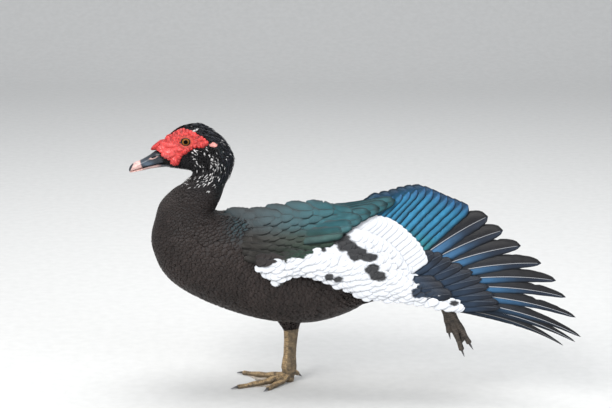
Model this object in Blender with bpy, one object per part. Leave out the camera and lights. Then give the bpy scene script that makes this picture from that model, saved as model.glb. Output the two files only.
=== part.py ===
"""A life-size muscovy duck that stands on its right foot and stretches its left wing and left leg back.

Units are metres and +Z is up. The bill points to -X and the bird's left side faces -Y. The origin
lies on the floor under the sole of the standing foot. Feathered forms are vanes: thin closed plates
that are laid in tiers and fused at their roots.
"""

import math

import bmesh
import bpy
import numpy as np
from mathutils import Matrix, Vector

GAP = 0.0003
SKIN_COLOUR = (0.012, 0.011, 0.013)
SEED = 7

# Body sections are superellipses. A power of 2 is an ellipse and a larger one is fuller.
FULLNESS = 2.25

# The torso: rows of station, height of the middle, half height and half width.
BODY_Y = -0.004
TORSO_ROWS = (
    (-0.1700, 0.2270, 0.0230, 0.0220),
    (-0.1580, 0.2150, 0.0410, 0.0380),
    (-0.1360, 0.2050, 0.0545, 0.0530),
    (-0.1060, 0.1968, 0.0655, 0.0640),
    (-0.0600, 0.1908, 0.0747, 0.0720),
    (-0.0100, 0.1845, 0.0820, 0.0755),
    (0.0400, 0.1825, 0.0860, 0.0740),
    (0.0900, 0.1825, 0.0820, 0.0680),
    (0.1300, 0.1880, 0.0710, 0.0590),
    (0.1650, 0.1990, 0.0550, 0.0480),
    (0.2000, 0.2120, 0.0390, 0.0385),
    (0.2350, 0.2230, 0.0240, 0.0310),
    (0.2600, 0.2290, 0.0150, 0.0250),
)
TORSO_STEPS = 17
TORSO_ROUND = 24
BREAST_TIP = (-0.1755, BODY_Y, 0.2290)
RUMP_TIP = (0.2680, BODY_Y, 0.2310)
TAIL_CUT_X = 0.2050

# The neck: rows of the ring's front point and back point in the middle plane, and its half width.
NECK_ROWS = (
    (-0.1560, 0.2180, -0.0520, 0.2280, 0.0520),
    (-0.1665, 0.2560, -0.0760, 0.2540, 0.0450),
    (-0.1600, 0.2790, -0.0765, 0.2720, 0.0380),
    (-0.1430, 0.2990, -0.0700, 0.2880, 0.0320),
    (-0.1235, 0.3130, -0.0640, 0.3060, 0.0275),
    (-0.1125, 0.3270, -0.0580, 0.3220, 0.0255),
    (-0.1110, 0.3420, -0.0530, 0.3390, 0.0245),
    (-0.1080, 0.3560, -0.0560, 0.3560, 0.0220),
)
NECK_STEPS = 11
NECK_ROUND = 16

# The head: rows of station, top, bottom and half width, from the nape to the base of the bill.
HEAD_ROWS = (
    (-0.0535, 0.3580, 0.3260, 0.0120),
    (-0.0600, 0.3690, 0.3230, 0.0175),
    (-0.0720, 0.3830, 0.3220, 0.0220),
    (-0.0880, 0.3950, 0.3230, 0.0245),
    (-0.1050, 0.4010, 0.3280, 0.0245),
    (-0.1200, 0.3995, 0.3310, 0.0225),
    (-0.1320, 0.3950, 0.3325, 0.0205),
    (-0.1440, 0.3860, 0.3340, 0.0170),
    (-0.1550, 0.3740, 0.3370, 0.0138),
    (-0.1640, 0.3650, 0.3420, 0.0105),
)
HEAD_STEPS = 14
HEAD_ROUND = 16
NAPE_TIP = (-0.0505, BODY_Y, 0.3420)
BROW_TIP = (-0.1672, BODY_Y, 0.3545)
THROAT_CUT = (-0.1130, 0.3290)
NAPE_CUT = (-0.0500, 0.3370)

# The bill: rows of station, top, mouth line, bottom and half width, from the gape to the nail.
BILL_ROWS = (
    (-0.1430, 0.3650, 0.3420, 0.3365, 0.0120),
    (-0.1540, 0.3640, 0.3412, 0.3358, 0.0122),
    (-0.1650, 0.3610, 0.3400, 0.3346, 0.0120),
    (-0.1760, 0.3532, 0.3378, 0.3328, 0.0114),
    (-0.1870, 0.3468, 0.3345, 0.3304, 0.0115),
    (-0.1960, 0.3425, 0.3318, 0.3288, 0.0120),
    (-0.2025, 0.3385, 0.3298, 0.3274, 0.0098),
    (-0.2065, 0.3338, 0.3284, 0.3268, 0.0058),
)
BILL_STEPS = 11
BILL_ROUND = 14
MANDIBLE_NARROWER = 0.0016
NOSTRIL = (-0.1680, 0.3512)
NOSTRIL_SIZE = (0.0042, 0.0030, 0.0019)

# The eyes and the bare, warty skin of the face. The outline of the bare skin is station and height.
EYE = (-0.1205, 0.3767)
EYE_RADIUS = 0.0070
EYE_SUNK = 0.0036
LID_RADIUS = 0.0070
LID_THICK = 0.0017
FACE_OUTLINE = (
    (-0.1620, 0.3776), (-0.1556, 0.3835), (-0.1427, 0.3858), (-0.1364, 0.3915), (-0.1235, 0.3945),
    (-0.1139, 0.3917), (-0.1041, 0.3871), (-0.0914, 0.3803), (-0.0881, 0.3742), (-0.0966, 0.3694),
    (-0.1085, 0.3685), (-0.1196, 0.3611), (-0.1281, 0.3567), (-0.1299, 0.3495), (-0.1346, 0.3409),
    (-0.1415, 0.3428), (-0.1460, 0.3488), (-0.1545, 0.3530), (-0.1577, 0.3600),
)
MASK_RISE = 0.0011
EDGE_LOBE_SPACE = 0.0128
EDGE_LOBE = (0.0070, 0.0028, 0.0038)
EDGE_LOBE_CHANGE = 0.22
WARTS = 8
WART_SPACE = 0.0075
WART_SIZE = (0.0021, 0.0031)
KNOB = (-0.1622, 0.3680)
KNOB_SIZE = (0.0122, 0.0088, 0.0056)
KNOB_TURN = math.radians(-26.0)
SIDE_BULBS = (
    ((-0.1440, 0.3570), (0.0090, 0.0052, 0.0072)),
    ((-0.1372, 0.3445), (0.0052, 0.0042, 0.0062)),
)

# The crest: flat locks on the crown and nape.
CREST_ROWS = 3
CREST_PER_ROW = 3
CREST_LENGTH = 0.027
CREST_WIDTH = 0.0095

# The tail: flat feathers in a fan, the middle pair on top.
TAIL_PAIRS = 6
TAIL_ROOT = (0.2200, 0.2270)
TAIL_LENGTH = 0.120
TAIL_HALF_WIDTH = 0.0140
TAIL_SPREAD = math.radians(25.0)
TAIL_RISE = math.radians(3.0)
TAIL_COVERTS = 4
TAIL_COVERT_LENGTH = 0.060

# The stretched left wing: a sheet whose depth is read from the station and leans in towards the top.
# Roots and tips are station and height, from the first feather to the last.
SHEET_X = (-0.080, 0.000, 0.070, 0.130, 0.180, 0.300, 0.400, 0.480)
SHEET_Y = (-0.077, -0.0845, -0.0905, -0.0935, -0.0960, -0.1080, -0.1230, -0.1380)
SHEET_LEAN = 0.24
SHEET_LEVEL = 0.170
SHOULDER_FOLD = 22.0
VANE_THICK = 0.0007
ROOT_LIFT = 0.0010
RISE_SHARE = 0.55
LOUVRE = 0.075
PRIMARY_ROOTS = ((0.2030, 0.2010), (0.2560, 0.1480))
PRIMARY_TIPS = (
    (0.3221, 0.2768), (0.3436, 0.2579), (0.3690, 0.2369), (0.3982, 0.2130), (0.4190, 0.1894),
    (0.4330, 0.1666), (0.4466, 0.1390), (0.4539, 0.1120), (0.4460, 0.1045), (0.4290, 0.0985),
)
PRIMARY_OUTER = (0.0120, 0.0045)
PRIMARY_INNER = (0.0200, 0.0075)
PRIMARY_BEND = (8.0, 17.0)
PRIMARY_TAPER = (0.15, 1.0)
SECONDARY_ROOTS = ((0.1980, 0.2050), (0.1010, 0.2400))
SECONDARY_TIPS = (
    (0.2934, 0.2926), (0.2818, 0.2973), (0.2687, 0.3020), (0.2557, 0.3082), (0.2427, 0.3136),
    (0.2296, 0.3169), (0.2150, 0.3145), (0.2019, 0.3099), (0.1873, 0.3054), (0.1713, 0.3009),
)
SECONDARY_WIDTHS = (0.0110, 0.0160)
GREATER_ROOTS = ((0.1900, 0.1900), (0.1100, 0.2300))
GREATER_TIPS = (
    (0.2290, 0.2260), (0.2222, 0.2395), (0.2110, 0.2510), (0.1985, 0.2615), (0.1850, 0.2695),
    (0.1712, 0.2730),
)
MEDIAN_ROOTS = ((0.1700, 0.1820), (0.0850, 0.2137))
MEDIAN_TIPS = ((0.2018, 0.2096), (0.1925, 0.2270), (0.1775, 0.2400), (0.1600, 0.2473))
HAND_COVERT_ROOTS = ((0.2040, 0.1960), (0.2600, 0.1480))
HAND_COVERT_TIPS = (
    (0.2541, 0.2222), (0.2820, 0.2085), (0.3060, 0.1950), (0.3220, 0.1800), (0.3330, 0.1655),
    (0.3390, 0.1511),
)
ALULA = (((0.1944, 0.1680), (0.2555, 0.1790)), ((0.2040, 0.1605), (0.2699, 0.1665)))
TERTIAL_ROOTS = ((0.0560, 0.2640), (0.0200, 0.2360))
TERTIAL_TIPS = ((0.1880, 0.2975), (0.1713, 0.2890), (0.1520, 0.2790), (0.1330, 0.2670), (0.1130, 0.2500))
SCAPULAR_ROOTS = ((0.0080, 0.2620), (-0.0140, 0.2260))
SCAPULAR_TIPS = ((0.1060, 0.2780), (0.0930, 0.2650), (0.0760, 0.2500), (0.0560, 0.2350))
SHOULDER_ROOTS = ((-0.0350, 0.2540), (-0.0460, 0.2260))
SHOULDER_TIPS = ((0.0360, 0.2650), (0.0280, 0.2480), (0.0120, 0.2310))
PAD_ROUND = 12
PAD_STATIONS = (-0.058, -0.043, -0.026, -0.012, -0.004, 0.006, 0.015, 0.024, 0.050, 0.085,
                0.120, 0.160, 0.205, 0.245, 0.280)
PAD_LOW = ((-0.058, 0.2220), (-0.053, 0.2120), (-0.027, 0.2024), (-0.0136, 0.1950), (-0.006, 0.1840),
           (0.007, 0.1763), (0.0137, 0.1770), (0.024, 0.1903), (0.048, 0.1894), (0.078, 0.1820),
           (0.112, 0.1680), (0.137, 0.1583), (0.170, 0.1554), (0.199, 0.1534), (0.230, 0.1493),
           (0.256, 0.1435), (0.280, 0.1400))
PAD_HIGH = ((-0.058, 0.2460), (-0.040, 0.2580), (-0.010, 0.2670), (0.060, 0.2720), (0.100, 0.2660),
            (0.140, 0.2500), (0.190, 0.2160), (0.225, 0.1870), (0.255, 0.1650), (0.280, 0.1440))
PAD_THICK = ((-0.058, 0.0030), (-0.020, 0.0070), (0.080, 0.0080), (0.160, 0.0075), (0.220, 0.0055),
             (0.280, 0.0018))

# The folded right wing: rows of the shell's station, height of the middle, half height and half width.
FOLD_ROWS = (
    (-0.0900, 0.2000, 0.0750, 0.0640),
    (-0.0500, 0.1930, 0.0790, 0.0725),
    (0.0000, 0.1850, 0.0840, 0.0765),
    (0.0500, 0.1840, 0.0860, 0.0760),
    (0.1000, 0.1860, 0.0820, 0.0710),
    (0.1500, 0.1960, 0.0720, 0.0610),
    (0.2000, 0.2090, 0.0560, 0.0500),
    (0.2500, 0.2180, 0.0440, 0.0420),
    (0.3000, 0.2250, 0.0360, 0.0360),
)
FOLD_LOUVRE = 0.085
FOLD_TIERS = (
    ("primary", 4, ((0.070, 0.192), (0.084, 0.210)), ((0.262, 0.2290), (0.238, 0.2420)),
     (0.0065, 0.0105), 0.7, 0.0018),
    ("secondary", 5, ((0.000, 0.172), (0.030, 0.216)), ((0.148, 0.1870), (0.196, 0.2360)),
     (0.0085, 0.0125), 0.15, 0.0036),
    ("tertial", 3, ((0.030, 0.236), (0.050, 0.250)), ((0.186, 0.2440), (0.176, 0.2560)),
     (0.0100, 0.0115), 0.1, 0.0058),
    ("greater covert", 5, ((-0.026, 0.172), (0.002, 0.222)), ((0.040, 0.1740), (0.074, 0.2290)),
     (0.0080, 0.0110), 0.0, 0.0064),
    ("median covert", 4, ((-0.052, 0.178), (-0.026, 0.224)), ((0.000, 0.1760), (0.028, 0.2300)),
     (0.0085, 0.0110), 0.0, 0.0086),
    ("scapular", 3, ((-0.020, 0.238), (-0.004, 0.252)), ((0.070, 0.2430), (0.088, 0.2570)),
     (0.0100, 0.0110), 0.0, 0.0084),
)
FOLD_STATIONS = (-0.082, -0.060, -0.030, 0.005, 0.040, 0.075, 0.110, 0.138)
FOLD_LOW = ((-0.082, 0.198), (-0.055, 0.172), (0.000, 0.158), (0.060, 0.160), (0.110, 0.178),
            (0.138, 0.200))
FOLD_HIGH = ((-0.082, 0.214), (-0.055, 0.240), (0.000, 0.254), (0.060, 0.257), (0.110, 0.252),
             (0.138, 0.232))
FOLD_THICK = ((-0.082, 0.0020), (-0.050, 0.0062), (0.060, 0.0062), (0.138, 0.0020))

# The legs. A leg's shank is an oval column and its toes are tapered rods, the inner toe first.
STAND_JOINT = (0.0310, 0.0000, 0.0225)
STAND_ANKLE = (0.0345, -0.0010, 0.0835)
HIP_RIGHT = (0.0280, 0.0060, 0.1350)
LIFT_JOINT = (0.2465, -0.0590, 0.1520)
LIFT_ANKLE = (0.1850, -0.0560, 0.1610)
HIP_LEFT = (0.0850, -0.0330, 0.1560)
TOE_ANGLES = (56.0, 26.0, -27.0)
CLOSED_ANGLES = (10.5, 0.0, -10.5)
TOE_LENGTHS = (0.056, 0.086, 0.080)
TOE_RADII = (0.0064, 0.0038)
TOE_SQUASH = 0.86
TOE_SUNK = 0.0005
TOE_SEGMENTS = 5
TOE_ROUND = 7
WEB_THICK = 0.0017
CLAW_LENGTH = 0.0115
CLAW_RADIUS = 0.0021
CLAW_DROOP = 0.10
CLAW_ROUND = 6
HALLUX_LENGTH = 0.0150
HALLUX_CLAW = 0.0060
LIFT_TOE_FALL = math.radians(71.0)
LIFT_TOE_ROLL = math.radians(-72.0)


# Plain helpers

def material(name, colour, rough, metallic=0.0):
    made = bpy.data.materials.new(name)
    made.use_nodes = True
    shader = made.node_tree.nodes["Principled BSDF"]
    shader.inputs["Base Color"].default_value = (*colour, 1.0)
    shader.inputs["Roughness"].default_value = rough
    shader.inputs["Metallic"].default_value = metallic
    return made


def mesh_object(name, points, faces, collection):
    mesh = bpy.data.meshes.new(name)
    mesh.from_pydata([tuple(map(float, p)) for p in points], [], [tuple(map(int, f)) for f in faces])
    made = bpy.data.objects.new(name, mesh)
    collection.objects.link(made)
    return made


def smooth_rows(rows, count):
    """Rows read at even steps from a Catmull-Rom curve through the given rows."""
    rows = np.array(rows, float)
    padded = np.vstack([2 * rows[0] - rows[1], rows, 2 * rows[-1] - rows[-2]])
    where = np.linspace(0, len(rows) - 1, count)
    span = np.minimum(where.astype(int), len(rows) - 2)
    t = (where - span)[:, None]
    a, b, c, d = (padded[span + k] for k in range(4))
    return 0.5 * (2 * b + (c - a) * t + (2 * a - 5 * b + 4 * c - d) * t**2 + (3 * b - a - 3 * c + d) * t**3)


def table(pairs, at):
    """A value read from a short table of (place, value) pairs."""
    pairs = np.array(pairs, float)
    return np.interp(at, pairs[:, 0], pairs[:, 1])


def loft(name, rings, start, end, collection):
    """A closed skin over rings of equal counts, closed by a fan to a point at each end."""
    rings = np.asarray(rings, float)
    count, around, _ = rings.shape
    points = np.vstack([rings.reshape(-1, 3), [start], [end]])
    first, last = count * around, count * around + 1
    faces = []
    for i in range(around):
        j = (i + 1) % around
        faces.append((first, j, i))
        faces.append((last, (count - 1) * around + i, (count - 1) * around + j))
        for k in range(count - 1):
            faces.append((k * around + i, k * around + j, (k + 1) * around + j, (k + 1) * around + i))
    made = mesh_object(name, points, faces, collection)
    face_outwards(made)
    return made


def face_outwards(made):
    """Turns the faces of a closed mesh outwards."""
    work = bmesh.new()
    work.from_mesh(made.data)
    bmesh.ops.recalc_face_normals(work, faces=work.faces)
    if work.calc_volume(signed=True) < 0:
        bmesh.ops.reverse_faces(work, faces=work.faces)
    work.to_mesh(made.data)
    work.free()


def plate(name, top, bottom, collection):
    """A closed thin plate between two equal grids of points, split into triangles alike on both faces."""
    top, bottom = np.asarray(top, float), np.asarray(bottom, float)
    rows, columns, _ = top.shape
    half = rows * columns
    points = np.vstack([top.reshape(-1, 3), bottom.reshape(-1, 3)])
    faces = []
    for r in range(rows - 1):
        for c in range(columns - 1):
            a, b = r * columns + c, r * columns + c + 1
            d, e = a + columns, b + columns
            faces += [(a, b, e), (a, e, d), (a + half, e + half, b + half), (a + half, d + half, e + half)]
    rim = [c for c in range(columns)]
    rim += [r * columns + columns - 1 for r in range(1, rows)]
    rim += [(rows - 1) * columns + c for c in range(columns - 2, -1, -1)]
    rim += [r * columns for r in range(rows - 2, 0, -1)]
    for a, b in zip(rim, rim[1:] + rim[:1]):
        faces += [(b, a, a + half), (b, a + half, b + half)]
    made = mesh_object(name, points, faces, collection)
    face_outwards(made)
    return made


def ellipsoid(name, centre, size, collection, around, rings, turn=0.0):
    """A ball stretched to the given half sizes and turned about the Y axis."""
    work = bmesh.new()
    bmesh.ops.create_uvsphere(work, u_segments=around, v_segments=rings, radius=1.0)
    shape = Matrix.Rotation(turn, 4, "Y") @ Matrix.Diagonal((*size, 1.0))
    bmesh.ops.transform(work, matrix=Matrix.Translation(centre) @ shape, verts=work.verts)
    mesh = bpy.data.meshes.new(name)
    work.to_mesh(mesh)
    work.free()
    made = bpy.data.objects.new(name, mesh)
    collection.objects.link(made)
    return made


def box(name, low, high, collection):
    """A plain box between two corners."""
    work = bmesh.new()
    bmesh.ops.create_cube(work, size=1.0)
    mesh = bpy.data.meshes.new(name)
    low, high = Vector(low), Vector(high)
    work.transform(Matrix.Translation((low + high) / 2) @ Matrix.Diagonal((*(high - low), 1.0)))
    work.to_mesh(mesh)
    work.free()
    made = bpy.data.objects.new(name, mesh)
    collection.objects.link(made)
    return made


def prism(name, outline, reach, collection):
    """A plate cut to an outline of stations and heights, as thick as twice the reach."""
    count = len(outline)
    points = [(x, y, z) for y in (-reach, reach) for x, z in outline]
    faces = [tuple(range(count)), tuple(range(2 * count - 1, count - 1, -1))]
    faces += [(k, count + k, count + (k + 1) % count, (k + 1) % count) for k in range(count)]
    made = mesh_object(name, points, faces, collection)
    face_outwards(made)
    return made


def apply_boolean(made, others, operation, solver="MANIFOLD"):
    """Joins or cuts with a collection of closed meshes, applies it and removes them."""
    group = bpy.data.collections.new("operands")
    bpy.context.scene.collection.children.link(group)
    for other in others:
        for owner in list(other.users_collection):
            owner.objects.unlink(other)
        group.objects.link(other)
    step = made.modifiers.new("join", "BOOLEAN")
    step.operation = operation
    step.operand_type = "COLLECTION"
    step.collection = group
    step.solver = solver
    bpy.context.view_layer.update()
    graph = bpy.context.evaluated_depsgraph_get()
    joined = bpy.data.meshes.new_from_object(made.evaluated_get(graph))
    made.modifiers.clear()
    made.data = joined
    for other in list(group.objects):
        bpy.data.objects.remove(other)
    bpy.data.collections.remove(group)
    keep_largest(made)
    return made


def keep_largest(made):
    """Keeps the largest closed surface of a mesh, which drops loose scraps and sealed hollows."""
    work = bmesh.new()
    work.from_mesh(made.data)
    bmesh.ops.triangulate(work, faces=work.faces)
    left = set(work.verts)
    bodies = []
    while left:
        seed = left.pop()
        found, edge = {seed}, [seed]
        while edge:
            for link in edge.pop().link_edges:
                for vert in link.verts:
                    if vert not in found:
                        found.add(vert)
                        edge.append(vert)
        left -= found
        bodies.append(found)
    sizes = []
    for body in bodies:
        faces = {f for v in body for f in v.link_faces}
        sizes.append(sum(f.verts[0].co.dot(f.verts[1].co.cross(f.verts[2].co)) for f in faces))
    best = sizes.index(max(sizes))
    loose = [v for k, body in enumerate(bodies) if k != best for v in body]
    bmesh.ops.delete(work, geom=loose, context="VERTS")
    work.to_mesh(made.data)
    work.free()


# Torso and neck

def section(x, middle_y, middle_z, half_height, half_width, count):
    """An oval ring across the body, a little fuller than an ellipse."""
    angle = np.arange(count) * 2 * math.pi / count
    power = 2 / FULLNESS
    c, s = np.cos(angle), np.sin(angle)
    y = middle_y + half_width * np.sign(c) * np.abs(c) ** power
    z = middle_z + half_height * np.sign(s) * np.abs(s) ** power
    return np.stack([np.full(count, x), y, z], axis=1)


def torso_skin(name, collection, grow=0.0):
    rows = smooth_rows(TORSO_ROWS, TORSO_STEPS)
    rings = [section(x, BODY_Y, z, h + grow, w + grow, TORSO_ROUND) for x, z, h, w in rows]
    front = (BREAST_TIP[0] - grow, *BREAST_TIP[1:])
    back = (RUMP_TIP[0] + grow, *RUMP_TIP[1:])
    return loft(name, rings, front, back, collection)


def neck_skin(name, collection):
    rows = smooth_rows(NECK_ROWS, NECK_STEPS)
    angle = np.arange(NECK_ROUND) * 2 * math.pi / NECK_ROUND
    rings = []
    for fx, fz, bx, bz, width in rows:
        front, back = np.array([fx, BODY_Y, fz]), np.array([bx, BODY_Y, bz])
        middle, along = (front + back) / 2, (back - front) / 2
        rings.append(middle + np.cos(angle)[:, None] * along
                     + np.sin(angle)[:, None] * np.array([0, width, 0]))
    return loft(name, rings, rings[0].mean(axis=0), rings[-1].mean(axis=0), collection)


# Head

def head_at(x):
    """Middle height, half height and half width of the head at a station."""
    rows = smooth_rows(HEAD_ROWS, 80)[::-1]
    top, low, width = (np.interp(x, rows[:, 0], rows[:, k]) for k in (1, 2, 3))
    return (top + low) / 2, (top - low) / 2, width


def head_side(x, z, side):
    """The point of the head's skin at a station and height, on the left (-1) or right (1) side."""
    middle, half, width = head_at(x)
    share = max(-0.97, min(0.97, (z - middle) / half))
    out = width * (1 - abs(share) ** FULLNESS) ** (1 / FULLNESS)
    return np.array([x, BODY_Y + side * out, middle + share * half])


def head_skin(name, collection, grow=0.0):
    rows = smooth_rows(HEAD_ROWS, HEAD_STEPS)
    rings = [section(x, BODY_Y, (t + b) / 2, (t - b) / 2 + grow, w + grow, HEAD_ROUND) for x, t, b, w in rows]
    return loft(name, rings, NAPE_TIP, BROW_TIP, collection)


def bill_half(name, collection, upper, grow=0.0):
    """One half of the bill, above or below the mouth line."""
    angle = np.arange(BILL_ROUND) * 2 * math.pi / BILL_ROUND
    rings = []
    for x, top, mouth, bottom, width in smooth_rows(BILL_ROWS, BILL_STEPS):
        c, s = np.cos(angle), np.sin(angle)
        if upper:
            low, high = mouth + GAP / 2 - grow, top + grow
            wide = width + grow
        else:
            low, high = bottom - grow, mouth - GAP / 2 + 2 * grow
            wide = width - MANDIBLE_NARROWER + grow
        flat = np.where(s < 0, 0.25, 1.0) if upper else np.where(s > 0, 0.25, 1.0)
        share = np.abs(s) ** flat * np.sign(s)
        z = (low + high) / 2 + (high - low) / 2 * share
        rings.append(np.stack([np.full(BILL_ROUND, x), BODY_Y + wide * c, z], axis=1))
    rings[-1] = rings[-1].mean(axis=0) + (rings[-1] - rings[-1].mean(axis=0)) * 0.9
    tip = rings[-1].mean(axis=0) - np.array([0.0015 + grow, 0, 0.0004])
    return loft(name, rings, rings[0].mean(axis=0), tip, collection)


def inside(outline, x, z):
    """Whether a point lies within an outline of corners."""
    hit = False
    for (ax, az), (bx, bz) in zip(outline, outline[1:] + outline[:1]):
        if (az > z) != (bz > z) and x < ax + (z - az) * (bx - ax) / (bz - az):
            hit = not hit
    return hit


def wart_spots(chance):
    """Places and sizes of warts, spaced over the bare skin and clear of the eye."""
    low, high = np.min(FACE_OUTLINE, axis=0), np.max(FACE_OUTLINE, axis=0)
    spots = []
    while len(spots) < WARTS:
        x, z = chance.uniform(low, high)
        clear = math.hypot(x - EYE[0], z - EYE[1]) > 1.5 * EYE_RADIUS
        spaced = all(math.hypot(x - a, z - b) > WART_SPACE for a, b, _ in spots)
        if clear and spaced and inside(FACE_OUTLINE, x, z):
            spots.append((x, z, chance.uniform(*WART_SIZE)))
    return spots


def edge_lobes(side, chance, collection):
    """Overlapping lobes along the edge of the bare skin, each turned along the edge."""
    corners = np.array(FACE_OUTLINE + FACE_OUTLINE[:1])
    lengths = np.concatenate([[0], np.cumsum(np.linalg.norm(np.diff(corners, axis=0), axis=1))])
    lobes = []
    for reach in np.arange(EDGE_LOBE_SPACE, lengths[-1], EDGE_LOBE_SPACE):
        here, ahead = (np.array([np.interp(r, lengths, corners[:, c]) for c in (0, 1)])
                       for r in (reach, reach + EDGE_LOBE_SPACE / 2))
        size = np.array(EDGE_LOBE) * (1 + EDGE_LOBE_CHANGE * chance.uniform(-1, 1, 3))
        turn = -math.atan2(ahead[1] - here[1], ahead[0] - here[0])
        lobes.append(ellipsoid("lobe", head_side(*here, side), size, collection, 6, 4, turn))
    return lobes


def face_bulbs(collection):
    """The bare skin as a low raised mask, the knob, the smooth bulbs, the edge lobes and the warts."""
    chance = np.random.default_rng(SEED)
    mask = head_skin("mask", collection, MASK_RISE)
    apply_boolean(mask, [prism("outline", FACE_OUTLINE, 0.1, collection)], "INTERSECT")
    bulbs = [mask, ellipsoid("knob", (KNOB[0], BODY_Y, KNOB[1]), KNOB_SIZE, collection, 12, 8, KNOB_TURN)]
    for side in (-1, 1):
        for spot, size in SIDE_BULBS:
            bulbs.append(ellipsoid("bulb", head_side(*spot, side), size, collection, 9, 6))
        bulbs += edge_lobes(side, chance, collection)
        for x, z, size in wart_spots(chance):
            long = size * chance.uniform(1.0, 1.5)
            bulbs.append(ellipsoid("wart", head_side(x, z, side), (long, size, size), collection, 5, 4,
                                   chance.uniform(-0.6, 0.6)))
    return bulbs


def lids(collection):
    """A ring of eyelid round each eye."""
    rings = []
    for side in (-1, 1):
        centre = eye_centre(side)
        bpy.ops.mesh.primitive_torus_add(
            major_radius=LID_RADIUS, minor_radius=LID_THICK, major_segments=14, minor_segments=5,
            location=(centre[0], head_side(*EYE, side)[1] + side * MASK_RISE, centre[2]),
            rotation=(math.pi / 2, 0, 0))
        ring = bpy.context.object
        ring.data.transform(ring.matrix_world)
        ring.matrix_world = Matrix.Identity(4)
        rings.append(ring)
    return rings


def eye_centre(side):
    x, y, z = head_side(*EYE, side)
    return x, y - side * EYE_SUNK, z


# Vanes

LONG_VANE = ((0.0, 0.28, 0.62, 0.90, 1.0), (0.40, 1.0, 1.0, 0.84, 0.34), (0.40, 1.0, 0.72, 0.38, 0.08))
SHORT_VANE = ((0.0, 0.42, 0.86, 1.0), (0.50, 1.0, 0.88, 0.34), (0.50, 1.0, 0.55, 0.12))


def shaft(shape, bend):
    """The curve of a feather's shaft for a length of one: along and across it, and its turn at each step."""
    share = np.array(shape[0])
    turn = np.radians(bend) * share**1.6
    step, middle = np.diff(share), (turn[1:] + turn[:-1]) / 2
    along = np.concatenate([[0], np.cumsum(step * np.cos(middle))])
    across = np.concatenate([[0], np.cumsum(step * np.sin(middle))])
    return along, across, turn


def feather(name, place, length, widths, bend, taper, collection, shape=LONG_VANE, thick=VANE_THICK):
    """A feather as a thin plate. place(along, across, through) gives a point, with the outer vane at
    across > 0. taper 0 is round ended and 1 is narrow and pointed."""
    along, across, turn = shaft(shape, bend)
    width = np.array(shape[1]) * (1 - taper) + np.array(shape[2]) * taper
    slim = thick * np.interp(shape[0], (0.0, 0.4, 1.0), (1.3, 1.0, 0.8)) / 2
    sides = []
    for way in (1, -1):
        grid = []
        for k in range(len(width)):
            row = []
            for reach in (widths[0] * width[k], -widths[1] * width[k]):
                a = along[k] * length - reach * math.sin(turn[k])
                c = across[k] * length + reach * math.cos(turn[k])
                row.append(place(a, c, way * slim[k]))
            grid.append(row)
        sides.append(grid)
    return plate(name, sides[0], sides[1], collection)


def on_line(ends, share):
    """A point a share of the way between two points."""
    return np.array(ends[0]) * (1 - share) + np.array(ends[1]) * share


def left_sheet(x, z, lift):
    """A point of the stretched wing, which folds in over the back near the shoulder."""
    near = min(1.0, max(0.0, 1.0 - x / 0.17))
    fold = SHOULDER_FOLD * max(0.0, z - 0.225) ** 2 * near * near * (3 - 2 * near)
    lean = SHEET_LEAN * (z - SHEET_LEVEL)
    return np.array([x, np.interp(x, SHEET_X, SHEET_Y) + lean + fold - lift, z])


def right_sheet(x, z, lift):
    """A point of the folded wing, a shell round the right flank."""
    rows = smooth_rows(FOLD_ROWS, 60)
    middle, half, width = (np.interp(x, rows[:, 0], rows[:, k]) for k in (1, 2, 3))
    share = min(0.93, abs((z - middle) / (half + lift)))
    return np.array([x, BODY_Y + (width + lift) * (1 - share**FULLNESS) ** (1 / FULLNESS), z])


def laid(name, sheet, root, tip, widths, bend, taper, lift, louvre, collection, shape=LONG_VANE):
    """A feather on a wing's sheet from a sunk root to its tip. Its outer vane is lower and lies on top."""
    along, across, _ = shaft(shape, bend)
    root, tip = np.array(root), np.array(tip)
    chord = math.hypot(along[-1], across[-1])
    length = np.linalg.norm(tip - root) / chord
    angle = math.atan2(tip[1] - root[1], tip[0] - root[0]) + math.atan2(across[-1], along[-1])
    c, s = math.cos(angle), math.sin(angle)

    def place(a, b, through):
        rise = ROOT_LIFT + (lift - ROOT_LIFT) * min(1.0, max(0.0, a / (RISE_SHARE * length)))
        return sheet(root[0] + a * c + b * s, root[1] + a * s - b * c, rise + louvre * b + through)

    return feather(name, place, length, widths, bend, taper, collection, shape)


def pad(name, low, high, thick, sheet, sunk, stations, collection):
    """The fleshy, feathered arm of a wing: a lens between a low and a high edge."""
    rings = []
    for x in stations:
        z0, z1, deep = table(low, x), table(high, x), table(thick, x)
        ring = []
        for turn in np.arange(PAD_ROUND) * 2 * math.pi / PAD_ROUND:
            z = (z0 + z1) / 2 + (z1 - z0) / 2 * math.cos(turn)
            bulge = deep * math.sin(turn)
            ring.append(sheet(x, z, bulge if bulge > 0 else bulge * sunk))
        rings.append(ring)
    rings = np.array(rings)
    return loft(name, rings, rings[0].mean(axis=0), rings[-1].mean(axis=0), collection)


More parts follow.
